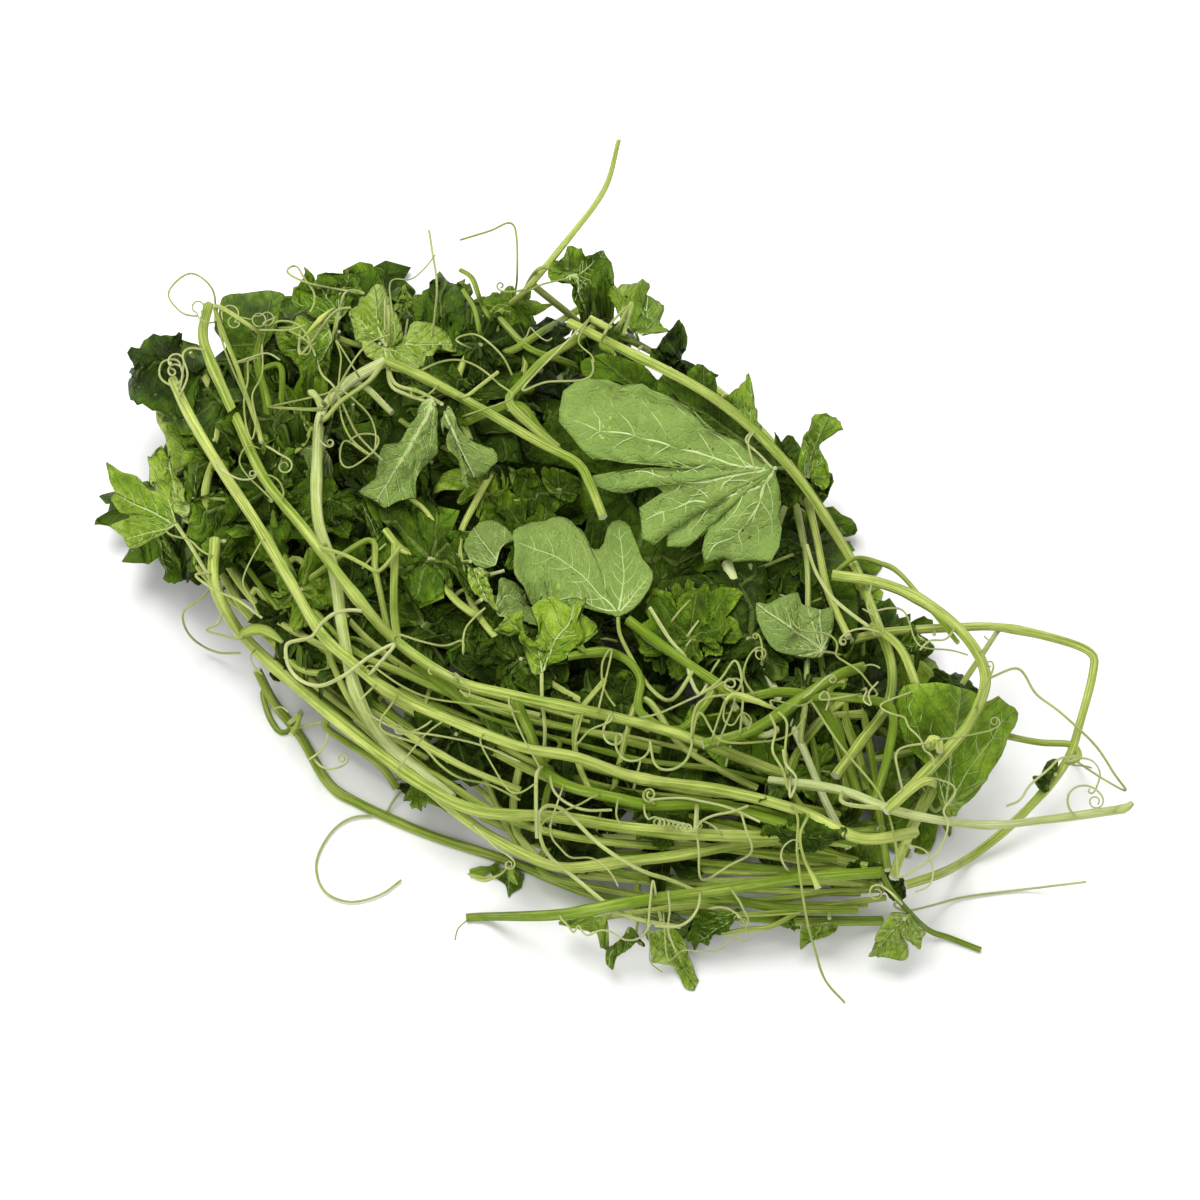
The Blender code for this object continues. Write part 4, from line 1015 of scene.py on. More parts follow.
def vein_mesh(route, widths, normals, tone, seed):
    """A low ridge along a route on a leaf: two slopes that meet in a crown."""
    wide = unit(np.cross(np.gradient(route, axis=0), normals)) * widths[:, None]
    crown = route + normals * (VEIN_EDGE + VEIN_CROWN * widths[:, None])
    left, right = route + wide - normals * VEIN_EDGE, route - wide - normals * VEIN_EDGE
    count = len(route)
    loops = []
    for i in range(count - 1):
        loops.append([i, i + 1, count + i + 1, count + i])
        loops.append([count + i, count + i + 1, 2 * count + i + 1, 2 * count + i])
    run = run_along(route) / GRAIN_LENGTH
    grain = np.tile(np.column_stack([np.full(count, seed), np.zeros(count), run]), (3, 1))
    shade = np.tile((tone, 0.0, 0.0), (3 * count, 1))
    return np.concatenate([left, crown, right]), loops, grain, shade


def main_veins(piece):
    """Main veins in the plan: as traced, or from the petiole down each lobe."""
    if piece.veins:
        return [flowing(plan_of(piece, vein), VEIN_STEP) for vein in piece.veins]
    run = np.linspace(0, VEIN_REACH, VEIN_POINTS)[:, None]
    veins = []
    for lobe in TRACED_LOBES if piece.trace else VEIN_LOBES:
        angle = lobe * LOBE_TURN + VEIN_BEND * lobe * run
        veins.append(np.hstack([run * np.cos(angle), run * np.sin(angle) * piece.spread]))
    return veins


def vein_lines(points, piece, plan, outline, scale):
    """Raised veins of a leaf: down each lobe, with branches, kept inside its outline."""
    normals = surface_normals(points, piece.turn)
    surface = points + normals * LEAF_THICKNESS / 2
    heart = np.array((piece.heart, 0.0)) if piece.trace else np.zeros(2)
    safe = heart + (outline - heart) * VEIN_SAFE
    kept = []

    def keep(route, width):
        inside = within_outline(route, safe)
        inside[: int(np.argmax(inside))] = inside.any()
        count = int(np.argmin(inside)) if not inside.all() else len(route)
        if count >= VEIN_LEAST:
            taper = np.linspace(width, width * VEIN_TAPER, count)
            places = smoothed(on_leaf(route[:count], surface, plan))
            kept.append((places, taper, on_leaf(route[:count], normals, plan)))
        return count

    for vein in main_veins(piece):
        count = keep(vein, VEIN_WIDTH * scale)
        reach = np.linalg.norm(vein[min(count, len(vein) - 1)] - vein[0])
        if count < BRANCH_LEAST:
            continue
        for begin in np.linspace(*BRANCH_PLACES, BRANCHES):
            index = int(begin * (count - 1))
            ahead = vein[min(index + 1, len(vein) - 1)] - vein[max(index - 1, 0)]
            heading = math.atan2(ahead[1], ahead[0])
            for way in (-1, 1):
                t = np.linspace(0, 1, BRANCH_POINTS)[:, None] * reach * BRANCH * (BRANCH_FALL - begin)
                bend = heading + way * (BRANCH_ANGLE - BRANCH_BEND * t / reach)
                branch = vein[index] + np.hstack([t * np.cos(bend), t * np.sin(bend)])
                keep(branch, VEIN_WIDTH * scale * BRANCH_WIDTH)
    return kept


# Leaves that are pressed down by what lies on them


def open_ceiling():
    return np.full_like(bare_table(), CEILING)


def press_ceiling(ceiling, points, reach):
    """Lowers the ceiling to the underside of balls of this reach at the points."""
    for place, drop in balls(points, reach):
        np.minimum.at(ceiling, place, points[:, 2] - drop)


def pressed(points, ceiling):
    """The leaf with its points brought under the ceiling, where that is above the floor."""
    low = ceiling[cells(points)] - PRESS_GAP
    height = np.minimum(points[..., 2], np.maximum(low, LEAF_THICKNESS))
    height = np.minimum(grid_smoothed(height, 1), np.maximum(low, LEAF_THICKNESS))
    return np.concatenate([points[..., :2], height[..., None]], axis=2)


# Laying a vine


def laid_petiole(top, heap, piece, points, stem):
    """The stalk of a blade, from the nearest point of the stem and a little way along the midrib."""
    base, tip = np.array(piece.base[:2], float), np.array(piece.tip[:2], float)
    first = piece.petiole[0] if piece.petiole else base
    root = nearest(stem, piece.turn, first)
    into = points[0]
    if piece.outline is None:
        count = len(blade_plan(piece))
        notch = points[len(points) - count + count // 2]
        into = notch + BLADE_GRIP * (points[0] - notch)
    route = [*piece.petiole, (*pixel_of(piece.turn, into), into[2])]
    width = (PETIOLE_SHARE * math.dist(base, tip) + PETIOLE_WIDTH, PETIOLE_END_WIDTH)
    return laid_line(top, heap, Line(width, tuple(route), piece.turn), root, into)


def filler_blades(vine, spine, rng):
    """Small wilted leaves along a stem, in plan, closer together in the leafy end of the heap."""
    leafy, bare, looks = FILLERS[vine.colour]
    blades = []
    if vine.name in BARE_VINES:
        return blades
    place = rng.uniform(0, leafy)
    run = run_along(spine)
    while place < run[-1]:
        x, y, z = spine[int(np.searchsorted(run, place))]
        along, _ = heap_shares(x, y)
        place += rng.uniform(*FILLER_GAPS) * (leafy if along < LEAFY_END else bare)
        length, angle = rng.uniform(*FILLER_LENGTHS), rng.uniform(0, math.tau)
        tip = (x + length * math.cos(angle), y + length * math.sin(angle))
        if heap_height(*tip) < FILLER_FLOOR or z < FILLER_LEAST:
            continue
        rise = FILLER_FOLLOW * (heap_height(*tip) - heap_height(x, y))
        tip += (z + rise + rng.uniform(*FILLER_HEIGHTS),)
        fold = rng.choice(FILLER_FOLDS)
        offset = rng.uniform(-FILLER_SCATTER, FILLER_SCATTER, 2)
        base = (x + offset[0], y + offset[1], z + FILLER_RISE)
        spread, cup, curl = (rng.uniform(*span) for span in (FILLER_SPREADS, FILLER_CUPS, FILLER_CURLS))
        look = str(rng.choice(looks))
        blades.append(blade(base, tip, spread, cup, curl, turn=PLAN, fold=fold, look=look))
    return blades


def coarse_of(piece, heap):
    """Ends and plain surface of a leaf that no solid stands for."""
    ends = blade_ends(piece, heap)
    length = np.hypot(*(ends[1, :2] - ends[0, :2])) * pixel_size(piece.turn)
    plan = rings_of(polar_outline(SMALL_HALF) * LOOSE_REACH, (INNER_RING,), 0.0)
    return ends, (plan, fan_faces(len(plan) // 2, 2), blade_height(piece, ends, plan, length))


def sunk_petiole(points, piece, spine):
    """The stalk of a loose leaf, which goes down into the heap towards its stem."""
    into = nearest(points.reshape(-1, 3), piece.turn, piece.base)
    root = spine[np.linalg.norm(spine - into, axis=1).argmin()]
    away = root - into
    reach = PETIOLE_SINK[0] / max(np.hypot(*away[:2]), PETIOLE_SINK[0])
    end = into + away * (reach, reach, 0) - (0, 0, min(PETIOLE_SINK[1], max(into[2] - 1, 0)))
    middle = (into + end) / 2 + (0, 0, 1)
    route = flowing([end, middle, into], 1.0)
    return route, width_along(EXTRA_PETIOLE, len(route))


def leaf_pixels(points):
    """Rim of a leaf in the picture."""
    return np.array([pixel_of(0.0, point) for point in points[-1]])


def covers(points, shown):
    """Whether a leaf would hide much of a leaf that is to be seen."""
    pixels = np.array([pixel_of(0.0, point) for point in points[::3, ::4].reshape(-1, 3)])
    return any(within_outline(pixels, outline).mean() > COVER_SHARE for outline in shown)


def lay_vine(vine, top, heap, shown, rng):
    """Lays a vine on what is there, as the model's solids lie, with the finer stems and leaves it carries."""
    stem, radius = laid_line(top, heap, vine.stem)
    solid = [(stem, radius)]
    spine = dense(coarse_line(stem, radius))
    own = top.copy()
    stamp(own, spine, radius.max())
    for piece in vine.lines:
        solid.append(rooted_line(top, heap, piece, spine))
    held, loose, fine = [], [], []
    for piece in vine.blades:
        points, samples, ends, coarse = laid_blade(own, heap, piece)
        field = grown(own, LEAF_THICKNESS / 2 + LEAF_CLEAR)
        held.append((*fine_blade(field, piece, ends, coarse, rng), piece))
        stamp(own, samples, BLADE_THICKNESS)
        solid.append(laid_petiole(top, heap, piece, points, spine))
    field = grown(top, LEAF_THICKNESS / 2 + LEAF_CLEAR)
    for piece in EXTRA_LEAVES.get(vine.name, ()):
        made = fine_blade(field, piece, *coarse_of(piece, heap), rng)
        loose.append((*made, piece))
        fine.append(sunk_petiole(made[0], piece, spine))
    shown += [leaf_pixels(made[0]) for made in held + loose if made[-1].trace]
    for piece in filler_blades(vine, spine, rng):
        made = fine_blade(field, piece, *coarse_of(piece, heap), rng)
        if not covers(made[0], shown):
            loose.append((*made, piece))
    for piece in UNDER_LINES.get(vine.name, ()):
        fine.append(rooted_line(top, heap, piece, spine))
    for points, radius in solid:
        stamp(top, dense(coarse_line(points, radius)), radius.max())
    np.maximum(top, own, out=top)
    return spine, solid, fine, held, loose


def lay_over(vine, spine, top, heap, rng):
    """Thin stems and tendrils of a vine that lie on the finished heap."""
    pieces = []
    for piece in OVER_LINES.get(vine.name, ()):
        pieces.append(piece._replace(width=tuple(np.atleast_1d(piece.width) * OVER_WIDTH)))
    for _ in range(STRAY_TENDRILS[vine.colour]):
        pieces.append(stray_tendril(spine, rng))
    tubes = []
    for piece in pieces:
        points, radius = rooted_line(top, heap, piece, spine)
        stamp(top, dense(points), radius.max())
        tubes.append((points, radius))
    return tubes


def stray_tendril(spine, rng):
    """A thin tendril from a random place on a stem, which wanders and ends in a curl."""
    u, v = pixel_of(0.0, spine[int(rng.uniform(*STRAY_FROM) * len(spine))])
    heading, bend = rng.uniform(0, math.tau), rng.uniform(-STRAY_BEND, STRAY_BEND)
    points = [(u, v)]
    for _ in range(rng.integers(*STRAY_STEPS)):
        heading += bend + rng.uniform(-STRAY_WOBBLE, STRAY_WOBBLE)
        u, v = u + STRAY_STEP * math.cos(heading), v + STRAY_STEP * math.sin(heading)
        points.append((u, v))
    way = 1 if bend > 0 else -1
    radius = rng.uniform(*STRAY_CURLS)
    side = heading + way * math.pi / 2
    middle = (u + radius * math.cos(side), v + radius * math.sin(side))
    start = math.degrees(side) + 180
    points += ring(*middle, radius, start, way * rng.uniform(*STRAY_SWEEPS), end=radius * STRAY_END)[1:]
    return line(STRAY_WIDTHS, *points)


# The vines, from the bottom of the heap up

INNER_SHOOTS = 4
INNER_LEAVES = 5
INNER_LENGTHS = (34, 50)
INNER_ASIDES = (0.3, -0.55)
INNER_SHARE = 0.25
INNER_SHARE_STEP = 0.12
BACK_SHOOTS = 3
BACK_LEAVES = 5
BACK_LENGTHS = (34, 50)
BACK_ASIDES = (0.74, 0.46)
BACK_SHARE = 0.25
SHOOT_WIDTH = 9
SHOOT_FROM = -0.86
SHOOT_TO = 0.92
SHOOT_KNOTS = 8
SHOOT_SWAY = 0.05
SHOOT_GATHER = 0.5
SHOOT_CUPS = (0.0, 0.1)
SHOOT_CURLS = (-0.35, -0.05)
SHOOT_WAVES = (0.02, 0.07)
SHOOT_SPREADS = (0.7, 1.0)
LEAF_SCATTER = 7
LEAF_TURNS = 12
LEAF_FLOOR = 24
LEAF_RISE = 6
LEAF_SHARE = 0.25


def shoot_route(rng, aside, share):
    """Stem route in plan along the heap, at this share of the heap's height."""
    route = []
    for along in np.linspace(SHOOT_FROM, SHOOT_TO, SHOOT_KNOTS):
        sway = rng.uniform(-SHOOT_SWAY, SHOOT_SWAY)
        x, y = heap_point(along, aside * (1 - SHOOT_GATHER * max(along, 0) ** 2) + sway)
        route.append((x, y, share * heap_height(x, y)))
    route[0] = (*route[0][:2], 0.0)
    route[-1] = (*route[-1][:2], 0.0)
    return route


def shoot(rng, name, aside, share, count, lengths):
    """A shoot along the heap, with leaves in plan that keep to the heap."""
    route = shoot_route(rng, aside, share)
    blades = []
    for place in range(count):
        x, y, z = route[place % (SHOOT_KNOTS - 2)]
        x, y = (x, y) + rng.uniform(-LEAF_SCATTER, LEAF_SCATTER, 2)
        length = rng.uniform(*lengths)
        angle = rng.uniform(0, math.tau)
        for _ in range(LEAF_TURNS):
            angle += math.tau / LEAF_TURNS
            tip = (x + length * math.cos(angle), y + length * math.sin(angle))
            if heap_height(*tip) > LEAF_FLOOR:
                break
        tip += ((share + LEAF_SHARE) * heap_height(*tip),)
        shape = (SHOOT_CUPS, SHOOT_CURLS, SHOOT_WAVES, SHOOT_SPREADS)
        cup, curl, wave, spread = (rng.uniform(*span) for span in shape)
        blades.append(blade((x, y, z + LEAF_RISE), tip, spread, cup, curl, wave, turn=PLAN, look="dark"))
    return Vine(name, "dark", Line(SHOOT_WIDTH, tuple(route), PLAN), [], blades)


def hidden_vines():
    """Shoots on the back of the heap, and shoots inside it, which show in the gaps."""
    rng = np.random.default_rng(SEED)
    vines = []
    for index, aside in enumerate(np.linspace(*BACK_ASIDES, BACK_SHOOTS)):
        vines.append(shoot(rng, f"back_shoot_{index + 1}", aside, BACK_SHARE, BACK_LEAVES, BACK_LENGTHS))
    for index, aside in enumerate(np.linspace(*INNER_ASIDES, INNER_SHOOTS)):
        share = INNER_SHARE + INNER_SHARE_STEP * (index % 3)
        vines.append(shoot(rng, f"inner_shoot_{index + 1}", aside, share, INNER_LEAVES, INNER_LENGTHS))
    return vines


def table_vines():
    return [
        Vine(
            "outer_front_vine", "stem",
            line(10, (257, 670), (274, 703), (300, 736), (328, 783), (360, 804), (430, 835), (512, 862),
                 (590, 894), (640, 905), (720, 914), (800, 921), (882, 921)),
            [
                line(6, (262, 690), (268, 714), (280, 732), (292, 728), (301, 712)),
                line(3, (380, 816), (355, 817), (335, 828), (320, 850), (316, 870), (325, 892),
                     (350, 902), (380, 895), (401, 880)),
                line((4, 4, 12, 8), (500, 862), (488, 870), (470, 873)),
            ],
            [blade((508, 866), (510, 896), spread=1.0, cup=0.3, look="green",
                   trace=((492, 869), (505, 872), (514, 869), (523, 880), (524, 891), (515, 893),
                          (510, 897), (505, 886), (491, 878)))],
        ),
        Vine(
            "low_shaded_vine", "stem",
            line(9, (282, 655), (300, 680), (340, 715), (380, 750), (420, 775), (480, 805), (520, 826),
                 (600, 850), (700, 862), (800, 872), (872, 884)),
            [], [blade((420, 775), (470, 760), look="green"), blade((560, 838), (600, 800), look="dark")],
        ),
        Vine(
            "middle_shaded_vine", "stem",
            line(9, (330, 640), (380, 690), (420, 715), (455, 735), (490, 750), (540, 775), (600, 796),
                 (700, 822), (800, 850), (870, 868)),
            [line(8, (520, 765), (514, 795), (514, 815), (518, 835), (537, 858))],
            [blade((455, 735), (500, 700), look="dark"), blade((650, 810), (690, 770), look="dark")],
        ),
        Vine(
            "bottom_leaf_vine", "stem",
            line(6, (886, 898), (850, 903), (800, 911), (740, 914), (700, 906), (640, 912), (600, 918)),
            [line(5, (800, 911), (770, 927), (750, 929), (722, 934))],
            [
                blade((660, 918), (697, 990), spread=0.62, cup=0.3, look="bright",
                      trace=((645, 925), (649, 940), (652, 955), (659, 966), (670, 971), (681, 981),
                             (696, 993), (700, 966), (693, 950), (681, 934), (664, 927))),
                blade((632, 918), (604, 970), spread=0.45, cup=0.5, look="mid",
                      trace=((632, 928), (618, 945), (607, 956), (602, 966), (608, 972), (613, 966),
                             (618, 958), (628, 950), (640, 938))),
                blade((610, 912), (560, 922), spread=0.7, look="mid",
                      trace=((600, 919), (580, 917), (559, 917), (561, 925), (575, 932), (590, 935),
                             (605, 930))),
                blade((740, 916), (700, 938), spread=0.8, look="green",
                      trace=((738, 914), (715, 912), (690, 917), (684, 930), (694, 944), (706, 943),
                             (712, 936), (724, 938), (734, 924))),
                blade((830, 918), (804, 948), spread=0.8, look="bright",
                      trace=((803, 930), (820, 925), (840, 925), (835, 936), (816, 942), (801, 951))),
            ],
        ),
        Vine(
            "end_leaf_vine", "stem",
            line(6, (880, 868), (893, 893), (925, 928), (950, 938), (981, 950)),
            [
                line(3, (893, 905), (905, 911), (930, 906), (965, 897), (1020, 890), (1086, 882, 10)),
            ],
            [blade((905, 918), (870, 958), spread=1.0, cup=0.25, look="bright", heart=0.2,
                   trace=((893, 916), (905, 916), (920, 925), (926, 933), (922, 942), (918, 951),
                          (911, 944), (904, 940), (905, 950), (900, 963), (880, 962), (867, 959),
                          (873, 945), (882, 932), (888, 925)))],
        ),
    ]


def right_vines():
    return [
        Vine(
            "inner_right_vine", "stem",
            line(8, (850, 560), (862, 600), (862, 640), (860, 680), (865, 720), (872, 760), (880, 820),
                 (888, 870)),
            [
                line(8, (878, 810), (866, 785), (860, 755), (847, 720), (845, 680)),
                line(9, (880, 830), (830, 830), (795, 800), (790, 772), (803, 745), (830, 712),
                     (846, 700)),
            ],
            [
                blade((822, 650), (758, 606), spread=1.0, petiole=((858, 672), (845, 660)), look="pale",
                      smooth=True,
                      trace=((822, 656), (806, 658), (790, 657), (775, 650), (762, 635), (757, 620),
                             (756, 603), (768, 605), (779, 597), (796, 592), (801, 605), (820, 611),
                             (831, 607), (834, 622), (829, 640))),
                blade((865, 690), (890, 652), spread=0.8, look="dark"),
                blade((862, 640), (835, 585), spread=0.9, look="dark"),
            ],
        ),
        Vine(
            "far_right_vine", "stem",
            line(9, (850, 640), (885, 632, 52), (960, 627, 50), (1000, 627, 48), (1050, 637, 44),
                 (1090, 652, 40), (1093, 672, 36), (1080, 722, 26), (1068, 758, 20), (1042, 793, 15),
                 (998, 836, 8), (950, 869), (903, 886)),
            [
                line(7, (1068, 764, 20), (1079, 757, 20), (1072, 745, 22), (1042, 743, 24),
                     (1015, 738, 26), (994, 732, 28)),
                line(6, (1000, 628), (985, 650, 46), (962, 684, 42)),
                line(3, (1070, 757), (1100, 777, 18), (1126, 791, 14), (1115, 775, 22), (1095, 745, 26),
                     (1060, 712, 32), (1036, 694, 36), (1025, 675, 40), (1015, 668, 42), (990, 678, 42)),
            ],
            [
                blade((1056, 774), (1030, 800, 14), spread=0.8, rise=2, look="dark",
                      trace=((1058, 765), (1047, 765), (1038, 776), (1031, 782), (1034, 791), (1040, 793),
                             (1048, 780), (1056, 774))),
                blade((935, 634), (903, 654), spread=0.8, look="green",
                      trace=((902, 620), (908, 630), (902, 645), (906, 657), (920, 657), (934, 651),
                             (926, 642), (921, 648), (914, 640), (913, 628))),
            ],
        ),
    ]


def leafy_vines():
    return [
        Vine(
            "left_edge_vine", "dark",
            line(8, (195, 360), (215, 400), (215, 450), (205, 500), (225, 560), (262, 610), (310, 640),
                 (370, 670)),
            [line(3, (225, 560), (205, 595), (183, 612), (190, 636), (215, 652), (240, 653))],
            [
                blade((192, 352, 48), (130, 372, 44), spread=0.95, cup=0.5, curl=-0.3, look="black",
                      trace=((196, 347), (170, 344), (150, 346), (133, 355), (125, 368), (127, 382),
                             (132, 398), (145, 410), (165, 415), (190, 410), (203, 398), (204, 365))),
                blade((225, 400), (262, 455), spread=0.9, look="dark"),
                blade((215, 440), (170, 425, 40), spread=0.8, cup=0.3, look="green"),
                blade((240, 500), (290, 560), spread=1.0, large=True, look="green"),
                blade((225, 540), (195, 575), spread=0.5, look="dark"),
            ],
        ),
        Vine(
            "top_left_vine", "leaf",
            line(7, (215, 322, 56), (260, 330), (310, 330), (360, 345), (420, 350), (480, 350),
                 (545, 372)),
            [
                line(2.6, (215, 322), (213, 290, 62), (190, 273, 66), (168, 293, 64), (182, 313, 60),
                     (197, 316, 60)),
                line(4, (388, 360), (389, 331, 72), (388, 305, 78)),
                line(3, (430, 350), (437, 290, 78), (432, 250, 84), (429, 230, 88)),
            ],
            [
                blade((262, 345), (222, 298), spread=0.95, look="deep", smooth=True,
                      trace=((262, 350), (240, 362), (226, 345), (214, 330), (218, 312), (222, 298),
                             (240, 294), (270, 291), (285, 294), (280, 306), (276, 325))),
                blade((338, 318), (306, 266, 70), spread=0.9, cup=0.3, look="green",
                      trace=((345, 312), (322, 320), (300, 312), (290, 305), (297, 285), (301, 265),
                             (312, 276), (330, 268), (346, 275), (356, 290))),
                blade((340, 330), (300, 396), spread=0.75, cup=0.3, look="mid", fold=0.2,
                      trace=((262, 326), (276, 326), (290, 329), (303, 312), (314, 310), (326, 322),
                             (333, 345), (330, 372), (326, 396), (317, 401), (304, 390), (295, 370),
                             (284, 353), (274, 343))),
                blade((380, 345), (372, 288), spread=0.8, cup=0.35, look="bright", fold=0.3,
                      trace=((352, 300), (360, 292), (378, 287), (386, 300), (393, 315), (399, 332),
                             (388, 343), (368, 347), (354, 336), (350, 318))),
                blade((384, 345), (455, 345), spread=0.75, cup=0.3, look="bright", fold=0.0, smooth=True,
                      trace=((362, 340), (380, 326), (404, 322), (430, 321), (446, 331), (457, 352),
                             (440, 350), (425, 364), (405, 372), (385, 368), (366, 356))),
                blade((440, 345), (440, 270), spread=0.85, cup=0.2, look="dark",
                      trace=((408, 322), (420, 305), (431, 295), (436, 284), (428, 278), (436, 268),
                             (446, 274), (458, 272), (462, 266), (469, 296), (475, 335), (450, 338),
                             (428, 330))),
                blade((262, 352), (230, 395), spread=0.8, look="dark"),
            ],
        ),
        Vine(
            "left_inner_vine", "leaf",
            line(8, (262, 334), (257, 362), (267, 404), (266, 435), (262, 470), (270, 505), (282, 552),
                 (300, 592), (340, 640)),
            [
                line(7, (280, 366), (281, 400), (276, 430), (266, 462)),
                line(5, (263, 475), (285, 458), (302, 447), (312, 428)),
                line(2.6, (260, 440), (250, 410), (235, 375), (225, 350), (218, 325), (217, 305, 66)),
            ],
            [
                blade((268, 490), (225, 520), spread=0.9, look="dark"),
                blade((270, 500), (330, 540), spread=0.8, look="dark"),
                blade((300, 590), (350, 570), spread=0.8, look="green"),
            ],
        ),
        Vine(
            "dark_middle_vine", "dark",
            line(7, (497, 317), (521, 345), (525, 365), (515, 403), (503, 450), (477, 500), (460, 538),
                 (465, 580), (480, 618), (520, 660), (580, 700), (650, 730)),
            [
                line(6, (490, 470), (430, 440), (400, 420)),
                line((4, 5, 5), (460, 590), (452, 597), (450, 565), (440, 535), (426, 511), (410, 498)),
                line(8, (475, 615), (456, 601), (441, 582), (430, 563), (402, 550), (385, 530)),
            ],
            [
                blade((505, 572), (470, 524), spread=0.8, cup=0.3, look="pale",
                      trace=((464, 548), (470, 532), (480, 523), (492, 519), (505, 529), (513, 539),
                             (500, 541), (499, 552), (494, 566), (480, 568), (468, 561))),
                blade((470, 560), (492, 612), spread=0.7, look="bright",
                      trace=((466, 562), (480, 568), (490, 566), (489, 585), (497, 600), (502, 612),
                             (490, 604), (476, 590), (468, 575))),
                blade((480, 600), (535, 590), spread=0.9, look="soft", smooth=True,
                      trace=((499, 577), (514, 581), (526, 591), (531, 601), (541, 606), (540, 626),
                             (524, 621), (505, 613), (496, 600))),
                blade((500, 450), (560, 470), spread=0.9, large=True, look="dark", smooth=True,
                      trace=((556, 418), (575, 386), (590, 380), (602, 400), (622, 425), (640, 452),
                             (646, 469), (600, 475), (584, 468), (566, 445))),
                blade((510, 410), (450, 440), spread=0.9, look="dark"),
                blade((430, 560), (370, 500), spread=0.7, look="dark"),
                blade((520, 660), (560, 610), spread=0.9, look="dark"),
            ],
        ),
        Vine(
            "pale_stub_vine", "pale",
            line((12, 9, 8, 8), (727, 563), (735, 585), (745, 610), (755, 643), (775, 690), (800, 740),
                 (825, 800), (850, 850)),
            [
                line(6, (768, 680), (760, 640), (752, 600), (750, 565)),
                line(6, (800, 745), (806, 690), (808, 590), (805, 550), (797, 505)),
            ],
            [
                blade((750, 640), (660, 588), spread=0.75, large=True, look="dark"),
                blade((757, 650), (700, 660), spread=0.8, look="dark"),
                blade((800, 690), (780, 730), spread=0.9, look="dark"),
                blade((805, 550), (845, 520), spread=0.8, look="dark"),
            ],
        ),
        Vine(
            "top_spike_vine", "stem",
            line((5, 7, 8, 8), (619, 140, 118), (605, 189, 108), (570, 237, 96), (524, 292, 80),
                 (495, 318), (470, 350), (455, 395), (470, 440)),
            [
                line(4, (524, 291), (534, 273, 88), (545, 267, 92), (570, 276, 92)),
                line(2.6, (512, 300), (517, 280, 84), (514, 225, 96), (490, 231, 96), (460, 240, 94)),
                line(8, (495, 318), (505, 352), (545, 330), (570, 315), (591, 303)),
            ],
            [
                blade((571, 277, 90), (603, 338, 70), spread=0.85, cup=0.4,
                      petiole=((524, 291), (534, 273, 88), (548, 267, 92)), look="green", fold=0.3,
                      trace=((562, 263), (571, 250), (580, 254), (598, 256), (612, 259), (620, 280),
                             (611, 276), (603, 268), (606, 285), (604, 300), (606, 322), (598, 332),
                             (586, 316), (574, 298), (569, 284), (559, 277))),
                blade((480, 345), (525, 330), spread=0.8, look="dark"),
                blade((455, 395), (400, 400), spread=0.8, look="dark"),
            ],
        ),
        Vine(
            "top_right_vine", "dark",
            line(8, (590, 318), (640, 345), (690, 372), (730, 400), (770, 440), (800, 480), (815, 530),
                 (828, 590), (850, 640)),
            [line(9, (600, 322), (571, 343), (545, 359), (521, 384), (509, 402), (532, 427), (560, 450))],
            [
                blade((640, 350), (612, 300, 66), spread=0.9, cup=0.3, look="green",
                      trace=((602, 298), (616, 284), (634, 286), (648, 280), (650, 291), (641, 295),
                             (652, 300), (660, 308), (656, 322), (662, 334), (648, 330), (640, 312),
                             (622, 303))),
                blade((700, 380), (655, 332), spread=0.9, cup=0.3, look="black",
                      trace=((648, 342), (656, 330), (668, 326), (681, 340), (685, 358), (696, 370),
                             (708, 373), (700, 381), (680, 378), (661, 371), (650, 360))),
                blade((700, 432), (598, 360), spread=0.62, large=True, look="dark", smooth=True,
                      trace=((580, 362), (600, 354), (630, 360), (662, 378), (692, 400), (707, 426),
                             (696, 431), (686, 416), (670, 400), (640, 388), (600, 382), (584, 378))),
                blade((745, 440), (713, 386), spread=0.8, look="green",
                      trace=((704, 388), (725, 388), (742, 387), (747, 383), (753, 400), (752, 416),
                             (763, 436), (750, 431), (735, 425), (719, 405))),
                blade((803, 478), (826, 414, 52), spread=0.7, cup=0.3, look="green",
                      trace=((800, 440), (812, 417), (822, 409), (832, 421), (836, 430), (822, 437),
                             (817, 447), (824, 455), (829, 473), (822, 486), (810, 484), (800, 474),
                             (795, 456))),
                blade((800, 480), (775, 440), spread=0.9, look="dark"),
            ],
        ),
    ]


